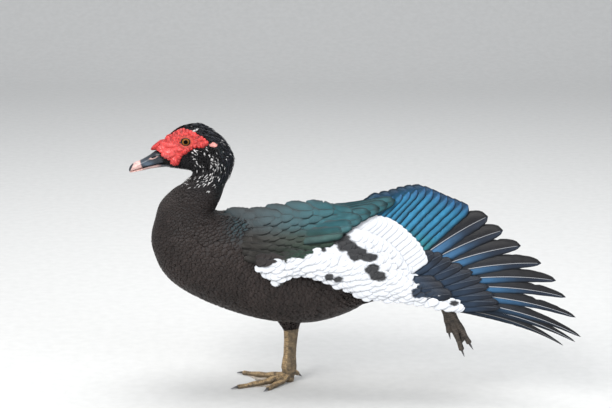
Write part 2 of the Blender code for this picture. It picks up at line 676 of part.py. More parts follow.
def left_wing_pieces(collection):
    """Tiers of the stretched wing, from the flight feathers down to the coverts that lie over them."""
    pieces = []

    def tier(name, roots, tips, widths, bend, taper, lift, shape=SHORT_VANE, climb=0.0):
        for k, tip in enumerate(tips):
            share = k / (len(tips) - 1)
            pieces.append(laid(name, left_sheet, on_line(roots, share), tip, widths, bend, taper,
                               lift + climb * k, LOUVRE, collection, shape))

    for k, tip in enumerate(PRIMARY_TIPS):
        share = k / (len(PRIMARY_TIPS) - 1)
        outer, inner, bend, taper = (
            ends[0] * (1 - share) + ends[1] * share
            for ends in (PRIMARY_OUTER, PRIMARY_INNER, PRIMARY_BEND, PRIMARY_TAPER))
        pieces.append(laid("primary", left_sheet, on_line(PRIMARY_ROOTS, share), tip, (outer, inner),
                           bend, taper, -0.0002 * k, LOUVRE, collection))
    tier("secondary", SECONDARY_ROOTS, SECONDARY_TIPS, SECONDARY_WIDTHS, 4.0, 0.0, 0.0004)
    tier("primary covert", HAND_COVERT_ROOTS, HAND_COVERT_TIPS, (0.0095, 0.0100), 4.0, 0.3, 0.0034)
    tier("greater covert", GREATER_ROOTS, GREATER_TIPS, (0.0100, 0.0125), 2.0, 0.0, 0.0036)
    tier("median covert", MEDIAN_ROOTS, MEDIAN_TIPS, (0.0110, 0.0125), 2.0, 0.0, 0.0064)
    tier("tertial", TERTIAL_ROOTS, TERTIAL_TIPS, (0.0125, 0.0130), -3.0, 0.1, 0.0062, LONG_VANE, 0.0010)
    tier("scapular", SCAPULAR_ROOTS, SCAPULAR_TIPS, (0.0105, 0.0115), -3.0, 0.1, 0.0086, SHORT_VANE, 0.0006)
    tier("shoulder", SHOULDER_ROOTS, SHOULDER_TIPS, (0.0105, 0.0115), -2.0, 0.1, 0.0090, SHORT_VANE)
    for root, tip in ALULA:
        pieces.append(laid("alula", left_sheet, root, tip, (0.0060, 0.0070), 4.0, 0.5, 0.0056,
                           LOUVRE, collection, SHORT_VANE))
    return pieces


def right_wing_pieces(collection):
    """Tiers of the folded wing: all feathers point back, the lowest tiers first."""
    pieces = []
    for name, count, roots, tips, widths, taper, lift in FOLD_TIERS:
        for k in range(count):
            share = k / (count - 1)
            pieces.append(laid(name, right_sheet, on_line(roots, share), on_line(tips, share), widths,
                               -3.0, taper, lift, FOLD_LOUVRE, collection,
                               LONG_VANE if name == "primary" else SHORT_VANE))
    return pieces


# Tail

def tail_pieces(collection):
    """Pairs of broad feathers, each pair a little lower and wider than the one inside it."""
    pieces = []
    for k in range(TAIL_PAIRS):
        share = k / (TAIL_PAIRS - 1)
        for side in (-1, 1):
            turn = side * (TAIL_SPREAD * share + math.radians(2.0))
            beside = BODY_Y + side * (0.004 + 0.014 * share)
            root = np.array([TAIL_ROOT[0] - 0.010 * share, beside, TAIL_ROOT[1]])
            length = TAIL_LENGTH * (1 - 0.22 * share**1.5)
            c, s = math.cos(turn), math.sin(turn)

            def place(along, across, through, root=root, c=c, s=s, side=side, k=k):
                x = root[0] + along * c - side * across * s
                y = root[1] + along * s + side * across * c
                sag = 0.0012 * k + 0.10 * (abs(y - BODY_Y) ** 2) / 0.05
                z = root[2] + along * math.tan(TAIL_RISE) - sag - 0.05 * across + through
                return np.array([x, y, z])

            pieces.append(feather("rectrix", place, length, (TAIL_HALF_WIDTH,) * 2, 0.0, 0.1,
                                  collection, SHORT_VANE, 0.0008))
    for row, height in ((0, 0.0050), (1, -0.0110)):
        for k in range(TAIL_COVERTS):
            share = k / (TAIL_COVERTS - 1) - 0.5
            turn = math.radians(34.0) * share
            root = np.array([0.2120, BODY_Y + 0.036 * share, TAIL_ROOT[1] + height])
            c, s = math.cos(turn), math.sin(turn)
            slope = -0.055 if row == 0 else 0.045

            def place(along, across, through, root=root, c=c, s=s, slope=slope, share=share):
                x = root[0] + along * c - across * s
                y = root[1] + along * s + across * c
                z = root[2] + slope * along - 0.02 * abs(share) - 0.06 * across + through
                return np.array([x, y, z])

            length = TAIL_COVERT_LENGTH * (1 - 0.5 * abs(share))
            pieces.append(feather("tail covert", place, length, (0.0095, 0.0095), 0.0, 0.0,
                                  collection, SHORT_VANE, 0.0009))
    return pieces


# Legs and feet

def frame_from(forward, up):
    """A turn whose first axis is forward and whose third axis is nearest to up."""
    x = Vector(forward).normalized()
    y = Vector(up).normalized().cross(x).normalized()
    z = x.cross(y)
    return Matrix((x, y, z)).transposed()


def column(name, start, end, halves, across, collection, around=12):
    """An oval column with flat ends. halves are rows of share, half depth and half width."""
    start, end = Vector(start), Vector(end)
    axis = (end - start).normalized()
    deep = axis.cross(Vector(across)).normalized()
    wide = deep.cross(axis).normalized()
    rings = []
    for share, a, b in halves:
        middle = start.lerp(end, share)
        rings.append([middle + deep * (a * math.cos(t)) + wide * (b * math.sin(t))
                      for t in np.arange(around) * 2 * math.pi / around])
    return loft(name, rings, start, end, collection)


def toe_point(angle, length, share, side):
    """The middle line of a toe in the foot's own frame: forward, across and up."""
    c, s = math.cos(math.radians(angle)), math.sin(math.radians(angle))
    reach = length * share
    rest = (TOE_RADII[0] * (1 - share) + TOE_RADII[1] * share) * TOE_SQUASH - TOE_SUNK
    return Vector((reach * c, side * reach * s, rest + 0.0070 * (1 - share) ** 3))


def rod(name, path, radii, squash, collection):
    """A tapered round rod along a path, a little flattened."""
    rings = []
    for k, here in enumerate(path):
        ahead = (path[min(k + 1, len(path) - 1)] - path[max(k - 1, 0)]).normalized()
        across = ahead.cross(Vector((0, 0, 1))).normalized()
        up = across.cross(ahead)
        rings.append([here + across * (radii[k] * math.cos(t)) + up * (radii[k] * squash * math.sin(t))
                      for t in np.arange(TOE_ROUND) * 2 * math.pi / TOE_ROUND])
    return loft(name, rings, path[0], path[-1], collection)


def foot_pieces(side, angles, collection):
    """Toes with knobby joints and the webs of one foot, in the foot's own frame."""
    pieces = []
    for angle, length in zip(angles, TOE_LENGTHS):
        shares = np.linspace(0, 1, TOE_SEGMENTS)
        path = [toe_point(angle, length, s, side) for s in shares]
        knobs = 1 + 0.12 * np.cos(shares * math.pi * 6)
        radii = (TOE_RADII[0] * (1 - shares) + TOE_RADII[1] * shares) * knobs
        pieces.append(rod("toe", path, radii, TOE_SQUASH, collection))
    for k in range(2):
        pieces.append(web(k, side, angles, collection))
    return pieces


def web(k, side, angles, collection):
    """The skin between two toes, its free edge hollowed towards the joint."""
    grids = []
    for up in (WEB_THICK, 0.0):
        grid = []
        for share in np.linspace(0.10, 0.93, 4):
            row = []
            for t in np.linspace(0, 1, 4):
                pull = 1 - 0.30 * share * 4 * t * (1 - t)
                a = toe_point(angles[k], TOE_LENGTHS[k], share * pull, side)
                b = toe_point(angles[k + 1], TOE_LENGTHS[k + 1], share * pull, side)
                here = a.lerp(b, t)
                here.z = (here.z - WEB_THICK) * (1 - min(1.0, 4 * t * (1 - t) + share)) + up - TOE_SUNK
                row.append(here)
            grid.append(row)
        grids.append(grid)
    return plate("web", grids[0], grids[1], collection)


def claw_shape(name, base, forward, up, length, radius, collection):
    """A short curved claw that tapers to its tip."""
    turn = frame_from(forward, up)
    path, radii = [], []
    for share in np.linspace(0, 1, 3):
        path.append(Vector(base) + turn @ Vector((length * share, 0, -CLAW_DROOP * length * share**2)))
        radii.append(radius * (1 - 0.86 * share**1.4))
    rings = []
    for k, here in enumerate(path):
        rings.append([here + turn @ Vector((0, radii[k] * math.cos(t), radii[k] * math.sin(t)))
                      for t in np.arange(CLAW_ROUND) * 2 * math.pi / CLAW_ROUND])
    return loft(name, rings, path[0], path[-1], collection)


def moved(made, place):
    """Moves a mesh's own points by a matrix."""
    made.data.transform(place)
    return made


def build_leg(name, side, joint, ankle, hip, place, angles, nodes, tools):
    """One leg: thigh, shank, foot and four claws. place carries the foot's own frame to the bird."""
    joint, ankle, hip = Vector(joint), Vector(ankle), Vector(hip)
    axis = (ankle - joint).normalized()
    lateral = Vector((0, 1, 0))
    shank_rows = ((0.0, 0.0112, 0.0085), (0.10, 0.0108, 0.0080), (0.30, 0.0088, 0.0070),
                  (0.60, 0.0088, 0.0070), (0.85, 0.0102, 0.0084), (1.0, 0.0112, 0.0092))
    column("shank_" + name, joint + axis * GAP, ankle, shank_rows, lateral, nodes)
    reach = (ankle - hip).length
    thigh_rows = ((0.0, 0.036, 0.026), (0.35, 0.031, 0.023), (0.65, 0.0215, 0.0170),
                  (0.88, 0.0140, 0.0118), (1.0, 0.0118, 0.0098))
    if reach < 0.08:
        thigh_rows = ((0.0, 0.036, 0.028), (0.35, 0.030, 0.024), (0.65, 0.0200, 0.0165),
                      (0.90, 0.0135, 0.0115), (1.0, 0.0120, 0.0100))
    end = ankle + axis * GAP
    thigh = column("thigh_" + name, hip, end, thigh_rows, lateral, nodes)
    flat_end(thigh, end, axis, tools)
    apply_boolean(thigh, [torso_skin("cutter", tools, GAP)], "DIFFERENCE")
    pieces = foot_pieces(side, angles, tools)
    for piece in pieces:
        moved(piece, place)
    heel = place @ Vector((0.0, 0.0, 0.0080))
    knuckle = column("knuckle", heel, joint - axis * 0.0001,
                     ((0.0, 0.0080, 0.0070), (0.45, 0.0108, 0.0086), (1.0, 0.0112, 0.0085)), lateral, tools)
    back = -1 * (place.to_3x3() @ Vector((1, 0, 0)))
    hallux_root = heel.lerp(joint, 0.75) + back * 0.0040
    hallux_way = (back * 0.80 + (place.to_3x3() @ Vector((0, -0.25 * side, -0.62)))).normalized()
    hallux = column("hallux", hallux_root, hallux_root + hallux_way * HALLUX_LENGTH,
                    ((0.0, 0.0042, 0.0042), (0.5, 0.0036, 0.0036), (1.0, 0.0026, 0.0026)), lateral, tools, 6)
    pad_low = place @ Vector((0.0, 0.0, -TOE_SUNK))
    foot = column("foot_" + name, pad_low, heel.lerp(joint, 0.5),
                  ((0.0, 0.0066, 0.0060), (0.25, 0.0082, 0.0075), (1.0, 0.0080, 0.0070)), lateral, nodes, 8)
    apply_boolean(foot, [*pieces, knuckle, hallux], "UNION")
    flat_end(foot, joint, -axis, tools)
    if name == "right":
        floor = box("floor cutter", (-0.3, -0.3, -0.1), (0.3, 0.3, 0.0), tools)
        apply_boolean(foot, [floor], "DIFFERENCE")
    for k, (angle, length) in enumerate(zip(angles, TOE_LENGTHS)):
        a = toe_point(angle, length, 1.0, side)
        way = (a - toe_point(angle, length, 0.9, side)).normalized()
        claw = claw_shape(f"claw_{name}_{k + 1}", a + way * GAP, way, (0, 0, 1), CLAW_LENGTH,
                          CLAW_RADIUS, nodes)
        moved(claw, place)
    tip = hallux_root + hallux_way * (HALLUX_LENGTH + GAP)
    up = place.to_3x3() @ Vector((0, 0, 1))
    claw_shape(f"claw_{name}_4", tip, hallux_way, up - back, HALLUX_CLAW, CLAW_RADIUS, nodes)
    return foot


def flat_end(made, point, away, tools):
    """Cuts off all that lies past a plane through point, on the side opposite to away."""
    cutter = box("end cutter", (0, -0.08, -0.08), (0.08, 0.08, 0.08), tools)
    turn = frame_from(-Vector(away), (0, 0, 1) if abs(Vector(away).z) < 0.9 else (1, 0, 0))
    cutter.data.transform(Matrix.Translation(point) @ turn.to_4x4())
    apply_boolean(made, [cutter], "DIFFERENCE")


# The whole bird

def plane_cutter(name, point, normal, tools, size=0.4):
    """A block that fills the side of a plane that its normal points to."""
    cutter = box(name, (0, -size, -size), (size, size, size), tools)
    turn = frame_from(normal, (0, 1, 0))
    cutter.data.transform(Matrix.Translation(point) @ turn.to_4x4())
    return cutter


def build_head_and_neck(nodes, tools):
    """One skin over head and neck, parted at the throat, with the bill's base let into the face."""
    low, high = (np.array([x, BODY_Y, z]) for x, z in (THROAT_CUT, NAPE_CUT))
    along = Vector(high - low).normalized()
    normal = Vector((-along.z, 0, along.x))
    middle = Vector((low + high) / 2)

    neck = neck_skin("neck", nodes)
    apply_boolean(neck, [head_skin("skull", tools)], "UNION")
    above = plane_cutter("above", middle - normal * (GAP / 2), normal, tools)
    apply_boolean(neck, [above, torso_skin("cutter", tools, GAP)], "DIFFERENCE")

    head = neck_skin("head", nodes)
    apply_boolean(head, [head_skin("skull", tools)], "UNION")
    below = plane_cutter("below", middle + normal * (GAP / 2), -normal, tools)
    apply_boolean(head, [below], "DIFFERENCE")
    apply_boolean(head, [*face_bulbs(tools), *lids(tools), *crest_pieces(tools)], "UNION")
    cutters = [bill_half("cutter", tools, True, GAP), bill_half("cutter", tools, False, GAP)]
    for side in (-1, 1):
        cutters.append(eye_ball("socket", side, EYE_RADIUS + GAP, tools))
    for cutter in cutters:
        apply_boolean(head, [cutter], "DIFFERENCE")
    return head, neck


def crest_pieces(tools):
    """Short flat locks that lie back over the crown and stand a little off the nape."""
    chance = np.random.default_rng(SEED + 1)
    pieces = []
    for row in range(CREST_ROWS):
        for k in range(CREST_PER_ROW):
            share = k / (CREST_PER_ROW - 1) - 0.5
            x = -0.1080 + 0.0190 * row + 0.004 * chance.uniform(-1, 1)
            middle, half, width = head_at(x)
            tilt = 1.5 * share
            beside, above = 0.95 * width * math.sin(tilt), 0.965 * half * math.cos(tilt)
            root = np.array([x, BODY_Y + beside, middle + above])
            out = np.array([0.0, math.sin(tilt), math.cos(tilt)])
            fall = math.radians(2 + 17 * row)
            along = np.array([math.cos(fall), 0.0, -math.sin(fall)])
            along = along + 0.06 * out
            along /= np.linalg.norm(along)
            across = np.cross(out, along)
            through = np.cross(along, across)

            def place(a, c, h, root=root, along=along, across=across, through=through):
                droop = -6.5 * a * a
                return root + along * a + across * c + through * (h + droop)

            length = CREST_LENGTH * chance.uniform(0.85, 1.1)
            pieces.append(feather("crest", place, length, (CREST_WIDTH / 2,) * 2, 0.0, 0.8,
                                  tools, SHORT_VANE, 0.0009))
    return pieces


def eye_ball(name, side, radius, collection):
    """A round ball at one eye."""
    return ellipsoid(name, eye_centre(side), (radius,) * 3, collection, 12, 8)


def build_eyes(nodes):
    eye_ball("eye_left", -1, EYE_RADIUS, nodes)
    eye_ball("eye_right", 1, EYE_RADIUS, nodes)


def build_bill(nodes, tools):
    upper = bill_half("bill_upper", nodes, True)
    holes = []
    for side in (-1, 1):
        centre = (NOSTRIL[0], BODY_Y + side * 0.0095, NOSTRIL[1])
        holes.append(ellipsoid("nostril", centre, NOSTRIL_SIZE, tools, 8, 5, math.radians(-25)))
    apply_boolean(upper, holes, "DIFFERENCE")
    bill_half("bill_lower", nodes, False)


def build_torso_and_tail(nodes, tools):
    torso = torso_skin("torso", nodes)
    apply_boolean(torso, [box("rump cutter", (TAIL_CUT_X, -0.2, 0.0), (0.4, 0.2, 0.4), tools)], "DIFFERENCE")
    tail = torso_skin("tail", nodes)
    front = box("body cutter", (-0.3, -0.2, 0.0), (TAIL_CUT_X + GAP, 0.2, 0.4), tools)
    apply_boolean(tail, tail_pieces(tools), "UNION")
    apply_boolean(tail, [front], "DIFFERENCE")
    return torso, tail


def build_wings(nodes, tools):
    left = pad("wing_left", PAD_LOW, PAD_HIGH, PAD_THICK, left_sheet, 1.5, PAD_STATIONS, nodes)
    apply_boolean(left, left_wing_pieces(tools), "UNION")
    right = pad("wing_right", FOLD_LOW, FOLD_HIGH, FOLD_THICK, right_sheet, 1.2, FOLD_STATIONS, nodes)
    apply_boolean(right, right_wing_pieces(tools), "UNION")
    for wing in (left, right):
        apply_boolean(wing, [torso_skin("cutter", tools, GAP)], "DIFFERENCE")
    return left, right


def colour_nodes(nodes):
    feathers = material("feathers", SKIN_COLOUR, 0.45)
    wings = material("wing_feathers", (0.02, 0.07, 0.12), 0.35)
    face = material("face_skin", (0.72, 0.06, 0.05), 0.5)
    bill = material("bill", (0.10, 0.12, 0.16), 0.35)
    eye = material("eye", (0.25, 0.12, 0.03), 0.08)
    leg = material("leg_skin", (0.25, 0.21, 0.17), 0.6)
    claw = material("claw", (0.03, 0.03, 0.035), 0.4)
    chosen = (("wing", wings), ("tail", wings), ("head", face), ("bill", bill), ("eye", eye),
              ("shank", leg), ("foot", leg), ("claw", claw))
    for made in nodes.objects:
        finish = feathers
        for start, other in chosen:
            if made.name.startswith(start):
                finish = other
        made.data.materials.clear()
        made.data.materials.append(finish)


def main():
    for old in list(bpy.data.objects):
        bpy.data.objects.remove(old)
    nodes = bpy.data.collections.new("muscovy_duck")
    tools = bpy.data.collections.new("cutters")
    bpy.context.scene.collection.children.link(nodes)
    bpy.context.scene.collection.children.link(tools)
    build_torso_and_tail(nodes, tools)
    build_head_and_neck(nodes, tools)
    build_bill(nodes, tools)
    build_eyes(nodes)
    build_wings(nodes, tools)

    stand = Matrix.Translation((STAND_JOINT[0], STAND_JOINT[1], 0.0)) @ Matrix.Rotation(math.pi, 4, "Z")
    build_leg("right", 1, STAND_JOINT, STAND_ANKLE, HIP_RIGHT, stand, TOE_ANGLES, nodes, tools)
    fall = Vector((math.cos(LIFT_TOE_FALL), 0.0, -math.sin(LIFT_TOE_FALL)))
    rise = Vector((-math.sin(LIFT_TOE_FALL), 0.0, -math.cos(LIFT_TOE_FALL)))
    hang = frame_from(fall, Matrix.Rotation(LIFT_TOE_ROLL, 3, fall) @ rise).to_4x4()
    axis = (Vector(LIFT_JOINT) - Vector(LIFT_ANKLE)).normalized()
    place = Matrix.Translation(Vector(LIFT_JOINT) + axis * 0.0160) @ hang
    build_leg("left", -1, LIFT_JOINT, LIFT_ANKLE, HIP_LEFT, place, CLOSED_ANGLES, nodes, tools)
    colour_nodes(nodes)


main()
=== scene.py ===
"""Looks of a life-size muscovy duck that stretches its left wing and left leg back.

Units are metres. The bill points to -X, the bird's left side faces -Y and +Z is up. Every shape is
worked out with numpy from named rows and outlines, and every finish is made of nodes.
"""

import itertools
import math

import bpy
import mathutils
import numpy as np
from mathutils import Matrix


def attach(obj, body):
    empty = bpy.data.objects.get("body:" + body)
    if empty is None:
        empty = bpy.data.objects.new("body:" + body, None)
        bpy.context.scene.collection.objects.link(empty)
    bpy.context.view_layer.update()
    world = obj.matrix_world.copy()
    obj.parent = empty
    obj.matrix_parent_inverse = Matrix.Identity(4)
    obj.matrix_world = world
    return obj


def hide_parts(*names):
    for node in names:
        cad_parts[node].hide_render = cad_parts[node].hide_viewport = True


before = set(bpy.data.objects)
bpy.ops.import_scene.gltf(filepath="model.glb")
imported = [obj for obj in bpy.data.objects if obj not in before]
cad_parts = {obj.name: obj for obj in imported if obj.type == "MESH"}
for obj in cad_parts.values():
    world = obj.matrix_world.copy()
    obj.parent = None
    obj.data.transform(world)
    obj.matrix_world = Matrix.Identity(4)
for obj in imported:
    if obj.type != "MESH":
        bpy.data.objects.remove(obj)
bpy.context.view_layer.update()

bl_info = {
    "name": "Muscovy duck looks",
    "version": (1, 0, 0),
    "blender": (4, 5, 0),
    "location": "3D View > Sidebar > Duck",
    "description": "Builds the skin, feathers, face, bill, eyes and legs of a standing muscovy duck",
    "category": "Object",
}

BODY_Y = -0.004
SIDES = ((-1, "left"), (1, "right"))

# The body as rings from the bill's base to the rump. Each row is the ring's upper point, its lower
# point, its half width and the depth of the coat that lies over the skin there.
RING_ROWS = np.array((
    (-0.168, 0.359, -0.168, 0.35, 0.004, 0.0008),
    (-0.164, 0.365, -0.164, 0.342, 0.0105, 0.0008),
    (-0.155, 0.374, -0.155, 0.337, 0.0138, 0.0008),
    (-0.144, 0.386, -0.144, 0.334, 0.017, 0.0008),
    (-0.132, 0.395, -0.1335, 0.3325, 0.0205, 0.001),
    (-0.12, 0.3995, -0.125, 0.3312, 0.0225, 0.0012),
    (-0.105, 0.401, -0.1185, 0.33, 0.0245, 0.0014),
    (-0.088, 0.395, -0.115, 0.329, 0.025, 0.0016),
    (-0.072, 0.383, -0.1133, 0.3278, 0.0252, 0.0011),
    (-0.06, 0.369, -0.1125, 0.3262, 0.0252, 0.0011),
    (-0.0525, 0.354, -0.113, 0.3235, 0.0252, 0.0011),
    (-0.051, 0.342, -0.1145, 0.321, 0.0252, 0.0011),
    (-0.056, 0.325, -0.119, 0.316, 0.0262, 0.0012),
    (-0.064, 0.306, -0.129, 0.3085, 0.0285, 0.0014),
    (-0.07, 0.288, -0.1445, 0.299, 0.033, 0.0016),
    (-0.0765, 0.274, -0.1625, 0.28, 0.0395, 0.0018),
    (-0.078, 0.268, -0.1705, 0.256, 0.044, 0.002),
    (-0.07, 0.2655, -0.1765, 0.229, 0.05, 0.0022),
    (-0.056, 0.2655, -0.172, 0.204, 0.058, 0.0023),
    (-0.04, 0.266, -0.158, 0.174, 0.063, 0.0024),
    (-0.02, 0.2667, -0.13, 0.149, 0.069, 0.0024),
    (0.005, 0.2675, -0.08, 0.124, 0.074, 0.0024),
    (0.03, 0.2685, -0.02, 0.1045, 0.0757, 0.0024),
    (0.06, 0.2675, 0.035, 0.0968, 0.0738, 0.0024),
    (0.09, 0.2645, 0.08, 0.0995, 0.069, 0.0024),
    (0.13, 0.259, 0.13, 0.117, 0.059, 0.0023),
    (0.165, 0.254, 0.165, 0.144, 0.048, 0.0022),
    (0.2, 0.251, 0.2, 0.173, 0.0385, 0.002),
    (0.235, 0.247, 0.235, 0.199, 0.031, 0.0018),
    (0.26, 0.244, 0.26, 0.214, 0.025, 0.0014),
    (0.268, 0.236, 0.268, 0.226, 0.008, 0.001),
))
FULLNESS = 2.2

# The face: the outline of its bare skin, the eyes and the large bulbs, as station and height.
EYE = (-0.1205, 0.3767)
EYE_RADIUS = 0.007
EYE_Y = 0.018
LID_OPENING = (0.0062, 0.005)
FACE_OUTLINE = np.array((
    (-0.164, 0.374), (-0.161, 0.379), (-0.1556, 0.384), (-0.148, 0.3845), (-0.1427, 0.3858),
    (-0.1364, 0.3915), (-0.13, 0.3942), (-0.1235, 0.395), (-0.1139, 0.392), (-0.1041, 0.3871),
    (-0.0914, 0.3803), (-0.087, 0.3742), (-0.0966, 0.3694), (-0.1085, 0.3688), (-0.1196, 0.3611),
    (-0.1281, 0.356), (-0.1299, 0.3495), (-0.1346, 0.3405), (-0.1415, 0.3425), (-0.146, 0.3488),
    (-0.1545, 0.352), (-0.159, 0.36), (-0.164, 0.364),
))
FACE_ROWS = 300
FACE_ROUND = 420
KNOB = (-0.164, 0.369)
KNOB_SIZE = (0.0126, 0.0092, 0.0034)
KNOB_TILT = math.radians(36.0)
EAR_PATCH = (-0.079, 0.3722)
CROWN_X = (-0.165, -0.157, -0.145, -0.13)
CROWN_HALF = (-0.01, 0.0, 0.006, 0.0095)
CHEEK_BULBS = (
    ((-0.1468, 0.3585), (0.0112, 0.0074), 0.0058), ((-0.1388, 0.347), (0.0062, 0.0066), 0.0042),
    ((-0.15, 0.3705), (0.015, 0.0036), 0.003), ((-0.133, 0.3645), (0.011, 0.0034), 0.0028),
    ((-0.156, 0.3655), (0.006, 0.0034), 0.003), ((-0.125, 0.3625), (0.008, 0.003), 0.0014),
    ((-0.156, 0.359), (0.005, 0.005), 0.0026), ((-0.158, 0.375), (0.0048, 0.004), 0.0018),
    ((-0.15, 0.38), (0.0046, 0.0036), 0.0016),
)

# The stretched wing's sheet: its depth is read from the station and leans in towards the top.
SHEET_X = (-0.08, 0.0, 0.07, 0.13, 0.18, 0.3, 0.4, 0.48)
SHEET_Y = (-0.077, -0.0845, -0.0905, -0.0935, -0.096, -0.108, -0.123, -0.138)
SHEET_LEAN = 0.24
SHEET_LEVEL = 0.17
SHOULDER_FOLD = 22.0
ROOT_LIFT = 0.001
LOUVRE = 0.075
NOTCHES = 2

# The folded wing's shell: rows of station, middle height, half height and half width.
FOLD_ROWS = np.array((
    (-0.09, 0.2, 0.075, 0.064), (-0.05, 0.193, 0.079, 0.0725),
    (0.0, 0.185, 0.084, 0.0765), (0.05, 0.184, 0.086, 0.076),
    (0.1, 0.186, 0.082, 0.071), (0.15, 0.196, 0.072, 0.061),
    (0.2, 0.209, 0.056, 0.05), (0.25, 0.218, 0.044, 0.042),
    (0.3, 0.225, 0.036, 0.036),
))

# Colours, all in linear light.
BLACK = (0.0085, 0.008, 0.009)
BROWN_BLACK = (0.019, 0.0138, 0.0128)
EDGE_BROWN = (0.048, 0.035, 0.031)
WHITE = (0.72, 0.74, 0.78)
TEAL = (0.012, 0.115, 0.135)
GREEN = (0.016, 0.052, 0.033)
BLUE = (0.014, 0.115, 0.21)
STEEL = (0.026, 0.09, 0.18)
INK = (0.009, 0.015, 0.028)
PUPIL = (0.0006, 0.0006, 0.0006)


# Plain helpers

def smooth_rows(rows, where):
    """Rows read at any places from a Catmull-Rom curve through the given rows."""
    rows = np.asarray(rows, float)
    padded = np.vstack([2 * rows[0] - rows[1], rows, 2 * rows[-1] - rows[-2]])
    where = np.clip(where, 0, len(rows) - 1)
    span = np.minimum(where.astype(int), len(rows) - 2)
    t = (where - span)[..., None]
    a, b, c, d = (padded[span + k] for k in range(4))
    return 0.5 * (2 * b + (c - a) * t + (2 * a - 5 * b + 4 * c - d) * t**2 + (3 * b - a - 3 * c + d) * t**3)


def smoothstep(low, high, value):
    """Zero below low, one above high and an S-shaped rise between them."""
    t = np.clip((np.asarray(value, float) - low) / (high - low), 0, 1)
    return t * t * (3 - 2 * t)


def unit(vectors):
    """Vectors scaled to a length of one."""
    return vectors / np.maximum(np.linalg.norm(vectors, axis=-1, keepdims=True), 1e-12)


def hash_noise(points, size, seed=0):
    """Smooth noise from -1 to 1: random values at the corners of a lattice, blended between them."""
    p = np.asarray(points, float) / size + 1000.0
    cell = np.floor(p).astype(np.int64)
    part = p - cell
    part = part * part * (3 - 2 * part)
    total = 0.0
    for k in range(2 ** p.shape[-1]):
        bits = [(k >> d) & 1 for d in range(p.shape[-1])]
        mixed = np.full(p.shape[:-1], 374761393 * (seed + 1), np.int64)
        weight = 1.0
        for d, bit in enumerate(bits):
            mixed = (mixed ^ ((cell[..., d] + bit) * (668265263, 1274126177, 2147483647)[d])) * 1103515245
            mixed = mixed & 0x7FFFFFFFFFFF
            weight = weight * (part[..., d] if bit else 1 - part[..., d])
        total = total + weight * ((mixed >> 16) % 65536) / 65535.0
    return total * 2 - 1


def flat_noise(x, z, size, seed):
    """Smooth noise over station and height."""
    return hash_noise(np.stack([x, z], axis=-1), size, seed)


def turns(count):
    """The angles of even steps once round."""
    return np.arange(count) * 2 * math.pi / count


def counted(count):
    """Number and share of the way of each feather in a row."""
    return [(n, n / (count - 1)) for n in range(count)]


def distance_inside(outline, x, z):
    """Distance to a closed outline in a plane, positive inside it and negative outside."""
    a = np.asarray(outline, float)
    b = np.roll(a, -1, axis=0)
    best = np.full(np.shape(x), 1e9)
    hit = np.zeros(np.shape(x), bool)
    for (ax, az), (bx, bz) in zip(a, b):
        t = np.clip(((x - ax) * (bx - ax) + (z - az) * (bz - az)) / ((bx - ax) ** 2 + (bz - az) ** 2), 0, 1)
        best = np.minimum(best, np.hypot(x - ax - t * (bx - ax), z - az - t * (bz - az)))
        crosses = (az > z) != (bz > z)
        edge = ax + (z - az) * (bx - ax) / (bz - az if bz != az else 1e-9)
        hit ^= crosses & (x < edge)
    return np.where(hit, best, -best)


def read_all(items, key, width=1, kind=float):
    """One property of all items of a mesh as an array."""
    values = np.zeros(len(items) * width, kind)
    items.foreach_get(key, values)
    return values.reshape(-1, width) if width > 1 else values


def put_mesh(name, points, loops, totals, finish, smooth=True, uvs=None, colours=None, values=None):
    """One mesh from whole arrays. loops lists the corners of all faces and totals each face's count.

    uvs holds one pair for each corner, or for each point. colours and values hold one entry for
    each point.
    """
    points = np.asarray(points, np.float32).reshape(-1, 3)
    loops = np.asarray(loops, np.int32).ravel()
    totals = np.asarray(totals, np.int32).ravel()
    mesh = bpy.data.meshes.new(name)
    mesh.vertices.add(len(points))
    mesh.vertices.foreach_set("co", points.ravel())
    mesh.loops.add(len(loops))
    mesh.loops.foreach_set("vertex_index", loops)
    mesh.polygons.add(len(totals))
    starts = np.concatenate([[0], np.cumsum(totals)[:-1]]).astype(np.int32)
    mesh.polygons.foreach_set("loop_start", starts)
    mesh.update(calc_edges=True)
    mesh.polygons.foreach_set("use_smooth", np.full(len(totals), smooth))
    for label, pairs in (uvs or {}).items():
        layer = mesh.uv_layers.new(name=label)
        pairs = np.asarray(pairs, np.float32).reshape(-1, 2)
        if len(pairs) == len(points):
            pairs = pairs[loops]
        layer.data.foreach_set("uv", pairs.ravel())
    for label, rows in (colours or {}).items():
        layer = mesh.color_attributes.new(label, "FLOAT_COLOR", "POINT")
        rows = np.asarray(rows, np.float32).reshape(len(points), -1)
        rows = np.hstack([rows[:, :3], np.ones((len(points), 1), np.float32)])
        layer.data.foreach_set("color", rows.ravel())
    for label, row in (values or {}).items():
        layer = mesh.attributes.new(label, "FLOAT", "POINT")
        layer.data.foreach_set("value", np.asarray(row, np.float32).ravel())
    made = bpy.data.objects.new(name, mesh)
    bpy.context.scene.collection.objects.link(made)
    mesh.materials.append(finish)
    return made


def grid_quads(rows, columns, wrap=False):
    """Corners of the quads of a grid of points, with the last column joined to the first by wrap."""
    r, c = np.meshgrid(np.arange(rows - 1), np.arange(columns if wrap else columns - 1), indexing="ij")
    d = (c + 1) % columns
    return np.stack([r * columns + c, r * columns + d, (r + 1) * columns + d, (r + 1) * columns + c],
                    axis=-1).reshape(-1, 4)


def closed_sheet(rows, columns):
    """Faces of a grid of points, of the same grid again below it and of the strip round their rims."""
    quads, count = grid_quads(rows, columns), rows * columns
    ring = np.concatenate([np.arange(columns), np.arange(1, rows) * columns + columns - 1,
                           (rows - 1) * columns + np.arange(columns - 2, -1, -1),
                           np.arange(rows - 2, 0, -1) * columns])
    after = np.roll(ring, -1)
    rim = np.stack([after, ring, ring + count, after + count], axis=1)
    return np.concatenate([quads, quads[:, ::-1] + count, rim])


